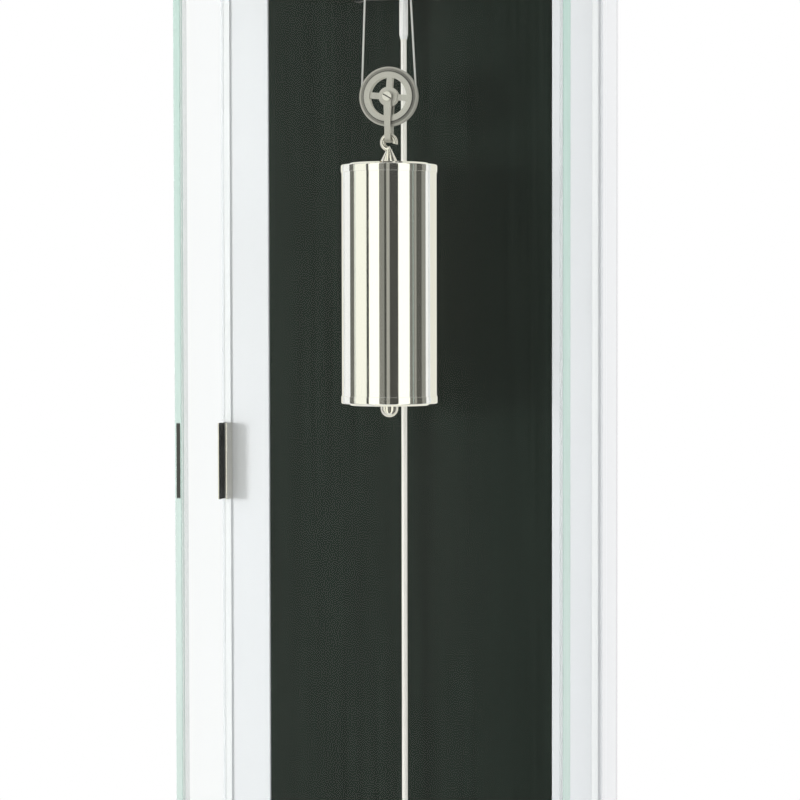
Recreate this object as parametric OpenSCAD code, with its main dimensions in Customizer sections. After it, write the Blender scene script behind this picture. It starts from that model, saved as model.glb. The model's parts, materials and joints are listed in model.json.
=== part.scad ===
// Wall regulator clock with a white case, a black panel and a glass hood
// Z is up and the front looks along -Y; the wall is the plane Y = 0
// the origin is the hanging hole in the back of the case

/* [Case] */
// width of the case
case_w = 304; // [296:1:340]
// depth from the wall to the case's front
case_t = 76; // [64:1:100]
// height of the case above the hanging hole
case_up = 50; // [48:1:70]
// height of the case below the hanging hole
case_down = 1270; // [1250:5:1350]
// thickness of the side boards and rails
board_t = 18; // [12:1:24]
// thickness of the front board
front_board_t = 18; // [12:1:24]
// thickness of the back board
back_board_t = 6; // [5:1:10]
// radius of the front board's long edges
edge_r = 1.5; // [0.5:0.5:3]
// width of the black panel
panel_w = 225; // [200:1:240]
// distance from the case's ends to the black panel
panel_margin = 39.5; // [30:0.5:60]
// thickness of the black panel
panel_t = 4; // [2:0.5:6]
// gap round the black panel
panel_gap = 0.3; // [0.1:0.1:0.6]
// bevel along the panel's recess
panel_bevel = 1; // [0.5:0.25:2]

/* [Hanging plate] */
// radius of the hanging hole
hang_r = 5; // [4:0.5:7]
// width of the hanging plate
hang_plate_w = 70; // [60:1:90]
// height of the hanging plate
hang_plate_h = 50; // [40:1:60]
// thickness of the hanging plate
hang_plate_t = 3; // [2:0.5:4]
// rim of the back board that the hanging plate rests on
hang_rim = 10; // [8:1:14]
// radius of the wall buffers
buffer_r = 9; // [6:1:14]
// distance of the wall buffers from the case's lower corners
buffer_inset = 34; // [30:1:50]

/* [Hood] */
// distance of the hood's sides from the case's sides
hood_side = 3; // [2:0.5:6]
// depth of the glass hood
hood_d = 126; // [120:1:150]
// thickness of the glass
glass_t = 5; // [4:0.5:6]
// distance of the hood from the case's ends
hood_margin = 3; // [2:1:10]
// gap between the hood and the case
hood_gap = 1.5; // [1.3:0.1:3]
// leg of the bead in the hood's corners
bead_w = 4; // [2:0.5:6]

/* [Hinges and catch] */
// distance of the hinge axis from the hood's side
hinge_out = 5.5; // [5.5:0.1:7]
// radius of the hinge knuckles
knuckle_r = 3; // [2.5:0.25:3]
// radius of the hinge pin
hinge_pin_r = 1.5; // [1.2:0.1:1.8]
// running gap in the hinge
hinge_fit = 0.06; // [0.03:0.01:0.1]
// height of a hinge
hinge_h = 54; // [40:2:70]
// depth of a hinge leaf
leaf_d = 26; // [18:1:34]
// thickness of a hinge leaf
leaf_t = 1.5; // [1:0.1:2]
// distance from the case's ends to the hinges
hinge_inset = 150; // [100:5:250]
// height of the glass clip's middle below the hanging hole
clip_drop = 632; // [560:1:700]
// height of the glass clip
clip_h = 60; // [40:1:80]
// depth of the glass clip's legs
clip_d = 14; // [8:1:16]
// thickness of the glass clip
clip_t = 1; // [0.8:0.1:1.2]
// thickness of the pad in the glass clip
pad_t = 0.5; // [0.3:0.1:0.8]
// width of the magnet
magnet_w = 6; // [4:0.5:8]
// depth of the magnet
magnet_d = 8; // [5:1:12]

/* [Movement frame] */
// distance from the hanging hole down to the pendulum's axis
pivot_drop = 37; // [34:1:44]
// distance from the case's front to the pendulum rod's axis
rod_out = 15; // [13.5:0.5:20]
// distance from the pendulum rod to the back plate
crutch_room = 17; // [16:0.5:24]
// distance between the plates
plate_gap = 48; // [46:1:56]
// thickness of the plates
plate_t = 4; // [3:0.5:5]
// width of the plates
plate_w = 104; // [100:1:120]
// height of the plates' top edge over the pendulum's axis
plate_up = 15; // [12:1:24]
// depth of the plates below the barrel's axis
plate_low = 53; // [50:1:60]
// depth of the back plate's legs below the barrel's axis
leg_low = 126; // [110:1:130]
// width of a leg of the back plate
leg_w = 19; // [14:1:24]
// gap between the legs of the back plate
leg_gap = 42; // [36:1:48]
// radius of the pillars
pillar_r = 4; // [3:0.5:5]
// distance of the pillars from the plates' sides and ends
pillar_inset = 8; // [7:0.5:10]
// radius of the plates' corners
plate_corner = 6; // [3:1:8]
// radius of the pillars' collars
collar_r = 5; // [4.5:0.25:6]
// length of the pillars' collars
collar_l = 4; // [2:0.5:6]
// thickness of the base plate
base_t = 4; // [3:0.5:6]
// height of the base plate over the plates
bracket_up = 2; // [0:0.5:4]
// depth of the base plate below its lower posts
bracket_low = 12; // [10:1:16]
// distance from the posts to the base plate's sides
bracket_side = 13; // [10:1:16]
// width of the base plate's rails
bracket_rail = 18; // [16:1:24]
// distance from the posts to the base plate's window
bracket_in = 8; // [7:1:12]
// radius of the posts on the base plate
post_r = 5; // [4:0.5:6]
// radius of the nuts on the posts
post_nut_r = 3.4; // [3:0.1:4]
// thickness of the nuts on the posts
post_nut_t = 2; // [1:0.5:2.5]
// radius of the stud that holds the line
line_stud_r = 2; // [1.5:0.1:2.2]
// width of the line's lug
lug_w = 2.8; // [2.4:0.1:3]
// clearance of a pivot in its hole
pivot_fit = 0.06; // [0.03:0.01:0.1]

/* [Going train] */
// teeth of the great wheel
great_n = 144;
// teeth of the pinions
pinion_n = 12;
// teeth of the centre wheel
centre_n = 96;
// teeth of the third wheel
third_n = 90;
// teeth of the escape wheel
escape_n = 30;
// module of the great wheel
great_m = 0.6; // [0.58:0.01:0.62]
// module of the centre wheel
centre_m = 0.55; // [0.53:0.01:0.57]
// module of the third wheel
third_m = 0.5; // [0.48:0.01:0.52]
// height of the seconds arbor over the centre arbor
seconds_rise = 38; // [36:0.5:40]
// tip radius of the escape wheel
escape_r = 22; // [20:0.5:23]
// amount that each flank is thinned
flank_gap = 0.06; // [0.04:0.01:0.08]
// thickness of the great wheel
great_t = 2.5; // [2:0.25:2.5]
// thickness of the other wheels
wheel_t = 2; // [1.5:0.25:2]
// thickness of the escape wheel
escape_t = 1.5; // [1:0.25:2]
// radius of the arbors
arbor_r = 1.6; // [1.4:0.1:2]
// radius of the pivots
pivot_r = 1; // [0.8:0.1:1.2]
// width of the wheels' spokes
crossing_w = 3.2; // [2:0.2:4]
// width of the great wheel's spokes
great_spoke_w = 5; // [4:0.5:6]
// radius of the great wheel's hub
great_hub_r = 11; // [10:0.5:12]
// width of the wheels' rims
rim_w = 3; // [2:0.25:4]

/* [Barrel] */
// radius of the line
line_r = 0.75; // [0.6:0.05:0.8]
// radius of the barrel to the line's middle
wind_r = 14.25; // [13.5:0.25:15]
// distance between turns of the line
wind_pitch = 2; // [1.95:0.05:2.1]
// turns of line on the barrel
wind_turns = 12; // [4:1:12]
// radius of the barrel's flanges
flange_r = 17; // [16:0.5:18]
// thickness of the barrel's flanges
flange_t = 1.5; // [1:0.25:1.5]
// teeth of the ratchet wheel
ratchet_n = 40;
// amount that the ratchet wheel's radius is under the flange's
ratchet_inset = 0.5; // [0.4:0.1:1]
// depth of the ratchet's teeth
ratchet_tooth = 1.2; // [0.8:0.1:1.4]
// radius of the winding arbor
wind_arbor_r = 3.6; // [3.6:0.1:4.2]
// distance from the flange to the click's pin
click_out = 13; // [12.5:0.1:13.5]
// width of the arm that carries the click
click_arm_w = 9; // [7:0.5:10]
// radius of the click's eye
click_r = 3; // [2.5:0.1:3.2]
// radius of the click's pin
click_pin_r = 1.6; // [1.2:0.1:1.8]
// length of the click
click_l = 13.2; // [12.8:0.1:13.4]
// side of the winding square
square_w = 4.6; // [4:0.1:5]
// thickness of the ratchet wheel
ratchet_t = 2; // [1.5:0.25:2]

/* [Motion work] */
// teeth of the minute wheel
minute_n = 36;
// teeth of the hour wheel
hour_n = 48;
// module of the cannon pinion and minute wheel
motion_m = 0.75; // [0.7:0.01:0.76]
// radius of the minute hand's pipe
cannon_r = 2.8; // [2.6:0.1:3]
// running gap of the hour wheel's pipe
pipe_fit = 0.08; // [0.04:0.01:0.1]
// wall of the hour wheel's pipe
hour_wall = 1.3; // [1:0.1:1.5]
// radius of the minute wheel's stud
stud_r = 1.5; // [1.2:0.1:1.8]

/* [Dial and hands] */
// radius of the dial
dial_r = 104; // [100:1:108]
// thickness of the dial
dial_t = 1.5; // [1:0.25:2]
// distance from the front plate to the dial
dial_gap = 8; // [7.5:0.25:9]
// inner radius of the chapter ring
chapter_r = 78; // [72:1:84]
// thickness of the chapter ring
chapter_t = 0.8; // [0.5:0.1:1]
// radius of the seconds ring
seconds_r = 27; // [24:0.5:28]
// width of the seconds ring
seconds_w = 6; // [4:0.5:8]
// length of the minute hand
minute_l = 90; // [80:1:96]
// length of the hour hand
hour_l = 62; // [55:1:70]
// length of the seconds hand
second_l = 22; // [16:1:24]
// thickness of the hands
hand_t = 0.8; // [0.6:0.1:1]
// radius of the dial's feet
foot_r = 2.5; // [2:0.25:3]
// height of the dial's upper foot over the centre
foot_up = 61; // [59:1:66]
// depth of the dial's lower feet below the centre
foot_down = 35; // [33:1:38]
// distance of the dial's lower feet from the centre line
foot_side = 38; // [37:0.5:40]
// width of the hour markers
marker_w = 3; // [2:0.5:4]
// length of the hour markers
marker_l = 14; // [8:1:15]
// distance from the chapter ring's inner edge to the hour markers
marker_in = 5; // [3:1:6]
// height of the hour markers
marker_t = 0.3; // [0.2:0.05:0.4]
// width of the minute hand
minute_w = 3.4; // [2.4:0.2:4]
// width of the hour hand
hour_w = 4.6; // [3:0.2:5.4]
// width of the seconds hand
second_w = 1.4; // [1:0.1:1.6]
// tail of the minute hand
minute_tail = 14; // [8:1:20]
// tail of the hour hand
hour_tail = 12; // [8:1:16]
// tail of the seconds hand
second_tail = 9; // [6:0.5:10]
// angle of the minute hand past twelve
minute_at = 60; // [0:6:354]
// angle of the hour hand past twelve
hour_at = 305; // [0:5:355]
// angle of the seconds hand past twelve
second_at = 150; // [0:6:354]

/* [Escapement and crutch] */
// clearance between the pallets and the escape wheel at rest
pallet_gap = 0.75; // [0.7:0.05:1]
// thickness of the anchor
anchor_t = 2.5; // [2:0.25:3]
// width of the anchor's arms
anchor_w = 3; // [2:0.25:4]
// radius of the anchor's hub
anchor_hub_r = 5; // [4:0.5:6]
// width of the pallets
pallet_w = 2; // [1.6:0.1:2.4]
// gap between the anchor's arms and the escape wheel
arm_gap = 2.2; // [2:0.1:3]
// length of the crutch
crutch_l = 102; // [80:1:120]
// width of the crutch's arm
crutch_w = 4.4; // [3:0.2:6]
// thickness of the crutch's arm
crutch_t = 2.5; // [2:0.25:3]
// amount that the crutch's arm narrows at each side
crutch_taper = 0.8; // [0.4:0.1:1]
// radius of the crutch's hub
crutch_hub_r = 3; // [2.8:0.1:3.2]
// length of the crutch's hub
crutch_hub_l = 4.5; // [3:0.5:5]
// radius of the crutch's beat screws
beat_screw_r = 2.4; // [1.5:0.1:3]
// width of the crutch's crosspiece
crosspiece_w = 16; // [14:1:20]
// gap between the fork and the rod's sleeve
fork_gap = 0.3; // [0.2:0.05:0.5]
// thickness of the fork's prongs
fork_t = 2; // [1.5:0.25:2.5]
// height of the fork's prongs
fork_h = 6; // [4:0.5:8]

/* [Pendulum] */
// distance from the pendulum's axis to the bob's middle
bob_drop = 994; // [960:1:1010]
// radius of the rod
rod_r = 2.2; // [1.8:0.1:2.6]
// radius of the rod's sleeve
sleeve_r = 3.3; // [2.9:0.1:3.6]
// distance from the pendulum's axis to the sleeve's lower end
sleeve_end = 266.6; // [240:1:300]
// length of the neck below the sleeve
neck_l = 2.4; // [1:0.2:4]
// radius of the bob
bob_r = 82; // [74:1:86]
// thickness of the bob
bob_t = 19; // [16:0.5:20]
// thickness of the bob's edge
bob_edge = 4; // [3:0.5:6]
// running gap of the bob on the rod
bob_fit = 0.08; // [0.04:0.01:0.1]
// length of the ferrule under the bob
ferrule_l = 4; // [3:0.5:8]
// radius of the rating nut
nut_r = 9; // [7:0.5:12]
// height of the rating nut
nut_h = 9; // [6:0.5:12]
// length of the rod below the rating nut
rod_tail = 24; // [18:1:30]
// length of the rod's pointed tip
tip_l = 14; // [8:1:20]
// thickness of the suspension spring
spring_t = 0.3; // [0.2:0.05:0.3]
// width of the suspension spring
spring_w = 12; // [8:1:14]
// free length of the suspension spring
spring_l = 5; // [4:0.5:6]
// width of the chops
chop_w = 10; // [8:1:12]
// height of the block under the spring
hook_block_h = 11; // [8:1:14]
// width of the cock's foot
cock_w = 28; // [24:1:32]
// thickness of the cock's foot
cock_t = 4; // [3:0.5:5]
// height of the cock's bar
cock_bar_h = 6; // [4:0.5:7]
// amount that the cock stands past the spring
cock_lip = 2; // [1.5:0.25:2.5]
// play of the spring in its slots
spring_play = 0.3; // [0.2:0.05:0.4]
// depth of the slot in the chops
slot_h = 5; // [4:0.5:5]
// wall of the ferrule round the rod
ferrule_wall = 2; // [1.5:0.25:3]
// steps at the rating nut's top and foot
nut_step = 1; // [0.5:0.25:1.5]
// radius of the rating nut's grips
grip_r = 1.3; // [1:0.1:1.5]

/* [Drive weight] */
// distance from the case's front to the weight's axis
line_out = 63; // [61:0.5:70]
// distance from the hanging hole down to the pulley's axis
pulley_drop = 353.7; // [340:1:500]
// radius of the pulley
pulley_r = 22.3; // [20:0.1:24]
// radius of the line's middle round the pulley
groove_r = 21; // [18.7:0.1:21.2]
// thickness of the pulley
pulley_t = 7; // [6:0.25:7]
// radius of the pulley's hub
hub_r = 7.2; // [6:0.2:9]
// radius inside the pulley's rim
pulley_rim_r = 14.4; // [13:0.2:16]
// radius of the pulley's flat face
pulley_face_r = 18.9; // [17:0.1:18.9]
// width of the pulley's spokes
spoke_w = 4.4; // [3:0.2:6]
// turn of the spokes from upright
spoke_turn = 5; // [0:1:45]
// radius of the pulley's screw
screw_r = 2; // [1.5:0.1:2.5]
// width of the stirrup's strap
strap_w = 4.4; // [3.8:0.1:4.4]
// radius of the pulley's screw head
head_r = 3.4; // [3:0.1:3.6]
// height of the pulley's screw head
head_h = 1.8; // [1.2:0.1:2]
// width of the slot in the screw head
slot_w = 0.9; // [0.6:0.1:1.2]
// width of the strap at the pulley's screw
strap_eye_w = 6; // [5:0.25:8]
// thickness of the strap
strap_t = 1.6; // [1.2:0.1:1.6]
// distance from the pulley's axis to the stirrup's lower end
stirrup_l = 34.3; // [33:0.1:40]
// gap between the pulley and the stirrup
strap_gap = 0.5; // [0.3:0.1:0.8]
// radius of the hook's wire
hook_wire_r = 2; // [1.6:0.1:2.2]
// radius of the hook's ring to the wire's middle
hook_r = 4.85; // [4.85:0.05:5.4]
// gap between the hook and the stirrup
hook_gap = 0.3; // [0.2:0.05:0.4]
// height of the hook's cone
cone_h = 9.5; // [5:0.5:10]
// radius of the cone's foot
cone_r = 7; // [5:0.2:9]
// radius of the cone's top
cone_top_r = 2.3; // [2.1:0.1:2.6]
// radius of the weight
weight_r = 35.7; // [30:0.1:36]
// length of the weight
weight_l = 182; // [150:0.5:200]
// wall of the weight's shell
shell_t = 1.5; // [1:0.25:3]
// gap between the shell and the core
core_gap = 0.5; // [0.3:0.1:1]
// height of the weight's caps
cap_h = 7; // [5:0.5:10]
// amount that the caps stand out
cap_step = 0.5; // [0.25:0.05:0.5]
// radius of the caps' rims
cap_round = 0.9; // [0.4:0.1:1.4]
// radius of the raised discs on the caps
cap_disc_r = 29.2; // [20:0.1:29.5]
// height of the raised discs on the caps
cap_rise = 1.4; // [0.5:0.1:2]
// radius of the dome nut
dome_r = 6.6; // [5:0.2:8]
// height of the dome nut
dome_h = 9; // [7:0.5:11]
// radius of the tie rod
tie_r = 3; // [2:0.25:4]

/* [Beat scale] */
// width of the beat scale
scale_w = 90; // [76:1:110]
// depth of the beat scale
scale_d = 20; // [18:1:22]
// gap between the rod's tip and the beat scale
scale_gap = 4; // [3:0.5:6]
// thickness of the beat scale
scale_t = 2; // [1.5:0.25:3]

/* [Hidden] */
$fn = 64;
eps = 0.01;
front_y = -case_t;
hood_w = case_w - 2 * hood_side;
rod_y = front_y - rod_out;
line_y = front_y - line_out;
back_plate_y = rod_y - crutch_room;
back_in_y = back_plate_y - plate_t;
front_in_y = back_in_y - plate_gap;
front_out_y = front_in_y - plate_t;
dial_y = front_out_y - dial_gap;
face_y = dial_y - dial_t;
pivot_z = -pivot_drop;
pallet_a = 45;
escape_z = pivot_z - escape_r / cos(pallet_a);
centre_z = escape_z - seconds_rise;
barrel_z = centre_z - (great_n + pinion_n) * great_m / 2;
third_d = (centre_n + pinion_n) * centre_m / 2;
third_e = (third_n + pinion_n) * third_m / 2;
third_up = (third_d * third_d - third_e * third_e + seconds_rise * seconds_rise) / (2 * seconds_rise);
third_x = -sqrt(third_d * third_d - third_up * third_up);
third_z = centre_z + third_up;
third_turn = atan2(third_up, third_x);
escape_turn = atan2(escape_z - third_z, -third_x);
motion_d = (pinion_n + minute_n) * motion_m / 2;
hour_m = 2 * motion_d / (pinion_n + hour_n);
pressure = 20;
wheel_add = 0.65;
wheel_ded = 1.2;
pinion_add = 0.9;
pinion_ded = 0.95;
pinion_over = 1.5;
end_shake = 0.5;
anchor_y = back_in_y - 4;
crutch_y = back_plate_y + 7;
arm_y = crutch_y - 1;
escape_y = anchor_y - (anchor_t - escape_t) / 2;
centre_y = back_in_y - 18;
third_y = back_in_y - 24;
flange_gap = 0.3;
wind_back_y = line_y + wind_turns * wind_pitch;
flange_back_y = wind_back_y + line_r + flange_gap;
flange_front_y = line_y - line_r - flange_gap;
ratchet_y = flange_front_y - flange_t;
great_y = ratchet_y - ratchet_t - end_shake;
drum_r = wind_r - line_r - 0.1;
ratchet_r = flange_r - ratchet_inset;
click_a = -50;
plate_top = pivot_z + plate_up;
plate_end = barrel_z - plate_low;
leg_end = barrel_z - leg_low;
leg_x = (leg_gap + leg_w) / 2;
pillar_x = plate_w / 2 - pillar_inset;
post_top = pivot_z + 3;
post_low = leg_end + leg_w * 0.9;
line_stud_x = 11.5;
line_stud_z = barrel_z - 23;
lug_l = 5;
pulley_z = -pulley_drop;
bend_r = pulley_t / 2 + strap_gap + strap_t;
bend_z = pulley_z - stirrup_l + bend_r;
hook_in_r = hook_r - hook_wire_r;
hook_z = pulley_z - stirrup_l + strap_t + hook_gap - sqrt(hook_in_r * hook_in_r - strap_w * strap_w / 4);
cone_top = hook_z - hook_r - hook_wire_r + 0.8;
weight_top = cone_top - cone_h;
weight_end = weight_top - weight_l;
cap_r = weight_r + cap_step;
core_r = weight_r - shell_t - core_gap;
bob_z = pivot_z - bob_drop;
sleeve_low = pivot_z - sleeve_end;
ferrule_end = bob_z - bob_r - ferrule_l;
nut_top = ferrule_end - 0.3;
rod_end = nut_top - nut_h - rod_tail;
tip_end = rod_end - tip_l;
scale_z = tip_end - scale_gap;
chop_top_low = pivot_z + spring_l / 2;
chop_play = spring_t / 2 + spring_play;
hook_block_top = pivot_z - spring_l / 2;
hinge_x = hood_w / 2 + hinge_out;
hinge_y = front_y - knuckle_r - 0.5;
leaf_y = hinge_y + knuckle_r + 0.3;
hood_rear = front_y - hood_gap;
hood_front = front_y - hood_d;
hood_in_x = hood_w / 2 - glass_t;
hood_top = case_up - hood_margin;
hood_low = -case_down + hood_margin;
clip_z = -clip_drop;
cannon_y = front_out_y - 1.5;
hour_y = cannon_y - 2.5;
second_y = face_y - chapter_t - 0.3;
hour_hand_y = second_y - hand_t - 0.9;
minute_hand_y = hour_hand_y - hand_t - 1.5;

// basic shapes

// a box given by its low and high corners
module block(low, high) {
  translate(low) cube(high - low);
}

// a flat shape in X and Z, from y towards the front
module plate(y, t) {
  translate([0, y, 0]) rotate([90, 0, 0]) linear_extrude(t) children();
}

// a round disc on an axis along Y
module disc(x, z, y, t, r) {
  translate([x, y, z]) rotate([90, 0, 0]) cylinder(h = t, r = r);
}

// a profile turned round the Y axis, with its height towards the front
module turned(x, z, y) {
  translate([x, y, z]) rotate([90, 0, 0]) rotate_extrude() children();
}

// a rectangle with round corners
module round_square(w, h, r) {
  square([w - 2 * r, h], center = true);
  square([w, h - 2 * r], center = true);
  for (x = [-1, 1], y = [-1, 1]) translate([x * (w / 2 - r), y * (h / 2 - r)]) circle(r);
}

// gear teeth

function polar(r, a) = [r * cos(a), r * sin(a)];
function involute(a) = tan(a) * 180 / PI - a;
function half_tooth(n, m, r) =
  90 / n - flank_gap / (n * m / 2) * 180 / PI + involute(pressure)
  - involute(acos(min(1, n * m / 2 * cos(pressure) / r)));
function tooth_points(n, m, a, r0, r1, r2, steps) = concat(
  r0 < r1 - eps ? [polar(r0, a - half_tooth(n, m, r1))] : [],
  [for (k = [0:steps]) let (r = r1 + (r2 - r1) * k / steps) polar(r, a - half_tooth(n, m, r))],
  [for (k = [steps:-1:0]) let (r = r1 + (r2 - r1) * k / steps) polar(r, a + half_tooth(n, m, r))],
  r0 < r1 - eps ? [polar(r0, a + half_tooth(n, m, r1))] : []
);
function gear_points(n, m, turn, add, ded, steps) =
  let (r0 = m * (n / 2 - ded), r1 = max(r0, n * m / 2 * cos(pressure)), r2 = m * (n / 2 + add))
  [for (i = [0:n - 1]) each tooth_points(n, m, turn + i * 360 / n, r0, r1, r2, steps)];

module wheel_teeth(n, m, turn) {
  polygon(gear_points(n, m, turn, wheel_add, wheel_ded, 1));
}

module pinion_teeth(n, m, turn) {
  polygon(gear_points(n, m, turn, pinion_add, pinion_ded, 3));
}

// the windows between a wheel's spokes
module windows(inner, outer, count, w, turn) {
  difference() {
    circle(outer);
    circle(inner);
    for (i = [0:count - 1]) rotate(turn + i * 360 / count) translate([0, -w / 2]) square([outer + 1, w]);
  }
}

// a wheel with five spokes and a bore
module crossed_wheel(n, m, turn, hub, bore, w) {
  difference() {
    wheel_teeth(n, m, turn);
    windows(hub, m * (n / 2 - wheel_ded) - rim_w, 5, w, 90);
    circle(bore);
  }
}

// an arbor with a pivot in each plate
module arbor(x, z) {
  disc(x, z, back_in_y - end_shake, plate_gap - 2 * end_shake, arbor_r);
  disc(x, z, back_plate_y, plate_t + end_shake, pivot_r);
  disc(x, z, front_in_y + end_shake, plate_t + end_shake, pivot_r);
}

// case

module case_side(side) {
  x0 = side > 0 ? case_w / 2 - board_t : -case_w / 2;
  block([x0, front_y + front_board_t, -case_down], [x0 + board_t, 0, case_up]);
}

module case_side_left() {
  color("white") case_side(-1);
}

module case_side_right() {
  color("white") case_side(1);
}

module case_rail(z) {
  block([-case_w / 2 + board_t, front_y + front_board_t, z], [case_w / 2 - board_t, 0, z + board_t]);
}

module case_top_rail() {
  color("white") case_rail(case_up - board_t);
}

module case_bottom_rail() {
  color("white") case_rail(-case_down);
}

// the recess for the black panel, with a bevel at the front
module panel_recess() {
  depth = panel_t + 1;
  mid = front_y + panel_t;
  high = case_up - panel_margin;
  low = -case_down + panel_margin;
  intersection() {
    translate([0, 0, low - 2]) linear_extrude(high - low + 4) polygon([
      [-panel_w / 2, mid], [panel_w / 2, mid], [panel_w / 2, front_y + panel_bevel],
      [panel_w / 2 + panel_bevel + 1, front_y - 1], [-panel_w / 2 - panel_bevel - 1, front_y - 1],
      [-panel_w / 2, front_y + panel_bevel]
    ]);
    translate([-case_w / 2, 0, 0]) rotate([90, 0, 90]) linear_extrude(case_w) polygon([
      [mid, low], [mid, high], [front_y + panel_bevel, high], [front_y - 1, high + panel_bevel + 1],
      [front_y - 1, low - panel_bevel - 1], [front_y + panel_bevel, low]
    ]);
  }
}

module front_board() {
  color("white") difference() {
    translate([0, 0, -case_down]) linear_extrude(case_up + case_down) difference() {
      translate([0, front_y + front_board_t]) round_square(case_w, 2 * front_board_t, edge_r);
      translate([-case_w, front_y + front_board_t]) square([2 * case_w, case_t]);
    }
    panel_recess();
    block([-hood_w / 2 - clip_t, front_y - 1, clip_z - clip_h / 2 + 5], [-hood_w / 2 - clip_t + magnet_w, front_y + magnet_d, clip_z + clip_h / 2 - 5]);
  }
}

module black_panel() {
  color("#2a2c29") block(
    [-panel_w / 2 + panel_gap, front_y, -case_down + panel_margin + panel_gap],
    [panel_w / 2 - panel_gap, front_y + panel_t, case_up - panel_margin - panel_gap]
  );
}

module back_board() {
  color("#b8a184") difference() {
    block(
      [-case_w / 2 + board_t, -hang_plate_t - back_board_t, -case_down + board_t],
      [case_w / 2 - board_t, -hang_plate_t, case_up - board_t]
    );
    plate(0, case_t / 2) square([hang_plate_w - 2 * hang_rim, hang_plate_h - 2 * hang_rim], center = true);
  }
}

module hanging_plate() {
  color("silver") plate(0, hang_plate_t) difference() {
    round_square(hang_plate_w, hang_plate_h, 4);
    circle(hang_r);
  }
}

module wall_buffers() {
  color("#333333") for (side = [-1, 1]) {
    disc(side * (case_w / 2 - buffer_inset), -case_down + buffer_inset, 0, hang_plate_t, buffer_r);
  }
}

module catch_magnet() {
  color("#555a5e") block(
    [-hood_w / 2 - clip_t, front_y, clip_z - clip_h / 2 + 5],
    [-hood_w / 2 - clip_t + magnet_w, front_y + magnet_d, clip_z + clip_h / 2 - 5]
  );
}

// hinges at the right rear edge of the hood

hinge_heights = [case_up - hinge_inset, -case_down + hinge_inset];

module knuckle(z0, h, r) {
  translate([hinge_x, hinge_y, z0]) cylinder(h = h, r = r);
}

module case_hinges() {
  third = hinge_h / 3;
  color("silver") for (z = hinge_heights) {
    z0 = z - hinge_h / 2;
    block([case_w / 2, leaf_y, z0], [case_w / 2 + leaf_t, leaf_y + leaf_d, z0 + hinge_h]);
    for (k = [0, 2]) {
      block([case_w / 2, hinge_y, z0 + k * third], [case_w / 2 + leaf_t, leaf_y + 1, z0 + (k + 1) * third]);
      knuckle(z0 + k * third, third, knuckle_r);
    }
    knuckle(z0, hinge_h, hinge_pin_r);
  }
}

module hood_hinges() {
  third = hinge_h / 3;
  gap = 0.3;
  color("silver") for (z = hinge_heights) {
    z0 = z - hinge_h / 2;
    block([hood_w / 2, hinge_y - leaf_d, z0], [hood_w / 2 + leaf_t, hinge_y, z0 + hinge_h]);
    difference() {
      union() {
        knuckle(z0 + third + gap, third - 2 * gap, knuckle_r);
        block(
          [hood_w / 2, hinge_y - knuckle_r, z0 + third + gap],
          [hinge_x - hinge_pin_r - hinge_fit, hinge_y - knuckle_r / 2, z0 + 2 * third - gap]
        );
      }
      knuckle(z0, hinge_h, hinge_pin_r + hinge_fit);
    }
  }
}

// glass hood

module hood_front_pane() {
  color("#cfe8e0", 0.3) block([-hood_in_x, hood_front, hood_low], [hood_in_x, hood_front + glass_t, hood_top]);
}

module hood_left_pane() {
  color("#cfe8e0", 0.3) block([-hood_w / 2, hood_front, hood_low], [-hood_in_x, hood_rear, hood_top]);
}

module hood_right_pane() {
  color("#cfe8e0", 0.3) block([hood_in_x, hood_front, hood_low], [hood_w / 2, hood_rear, hood_top]);
}

module hood_top_pane() {
  color("#cfe8e0", 0.3) block([-hood_in_x, hood_front + glass_t, hood_top - glass_t], [hood_in_x, hood_rear, hood_top]);
}

module hood_bottom_pane() {
  color("#cfe8e0", 0.3) block([-hood_in_x, hood_front + glass_t, hood_low], [hood_in_x, hood_rear, hood_low + glass_t]);
}

module hood_beads() {
  color("#dfe6e4", 0.5) translate([0, 0, hood_low + glass_t]) linear_extrude(hood_top - hood_low - 2 * glass_t) {
    for (side = [-1, 1]) polygon([
      [side * hood_in_x, hood_front + glass_t],
      [side * (hood_in_x - bead_w), hood_front + glass_t],
      [side * hood_in_x, hood_front + glass_t + bead_w]
    ]);
  }
}

// the glass clip grips the left pane's rear edge
module catch_clip() {
  x0 = -hood_w / 2 - pad_t - clip_t;
  x1 = -hood_in_x + clip_t;
  y1 = hood_rear + clip_t;
  color("silver") difference() {
    block([x0, hood_rear - clip_d, clip_z - clip_h / 2], [x1, y1, clip_z + clip_h / 2]);
    block([x0 + clip_t, hood_rear - clip_d - 1, clip_z - clip_h], [x1 - clip_t, hood_rear, clip_z + clip_h]);
  }
}

module clip_pad() {
  color("#151515") block(
    [-hood_w / 2 - pad_t, hood_rear - clip_d, clip_z - clip_h / 2],
    [-hood_w / 2, hood_rear, clip_z + clip_h / 2]
  );
}

// movement frame

module base_plate() {
  color("#26282a") {
    top = plate_top + bracket_up;
    low = post_low - bracket_low;
    plate(front_y, base_t) translate([0, (top + low) / 2]) difference() {
      round_square(2 * (leg_x + bracket_side), top - low, plate_corner);
      round_square(2 * (leg_x - bracket_in), top - low - 2 * bracket_rail, plate_corner);
    }
    for (side = [-1, 1], z = [post_top, post_low]) {
      disc(side * leg_x, z, front_y - base_t + eps, front_y - base_t - back_plate_y + eps, post_r);
    }
  }
}

module pivot_hole(x, z, r) {
  translate([x, z]) circle(r + pivot_fit);
}

module plate_shape() {
  translate([0, (plate_top + plate_end) / 2]) round_square(plate_w, plate_top - plate_end, plate_corner);
}

module train_holes() {
  pivot_hole(0, escape_z, pivot_r);
  pivot_hole(third_x, third_z, pivot_r);
}

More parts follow.
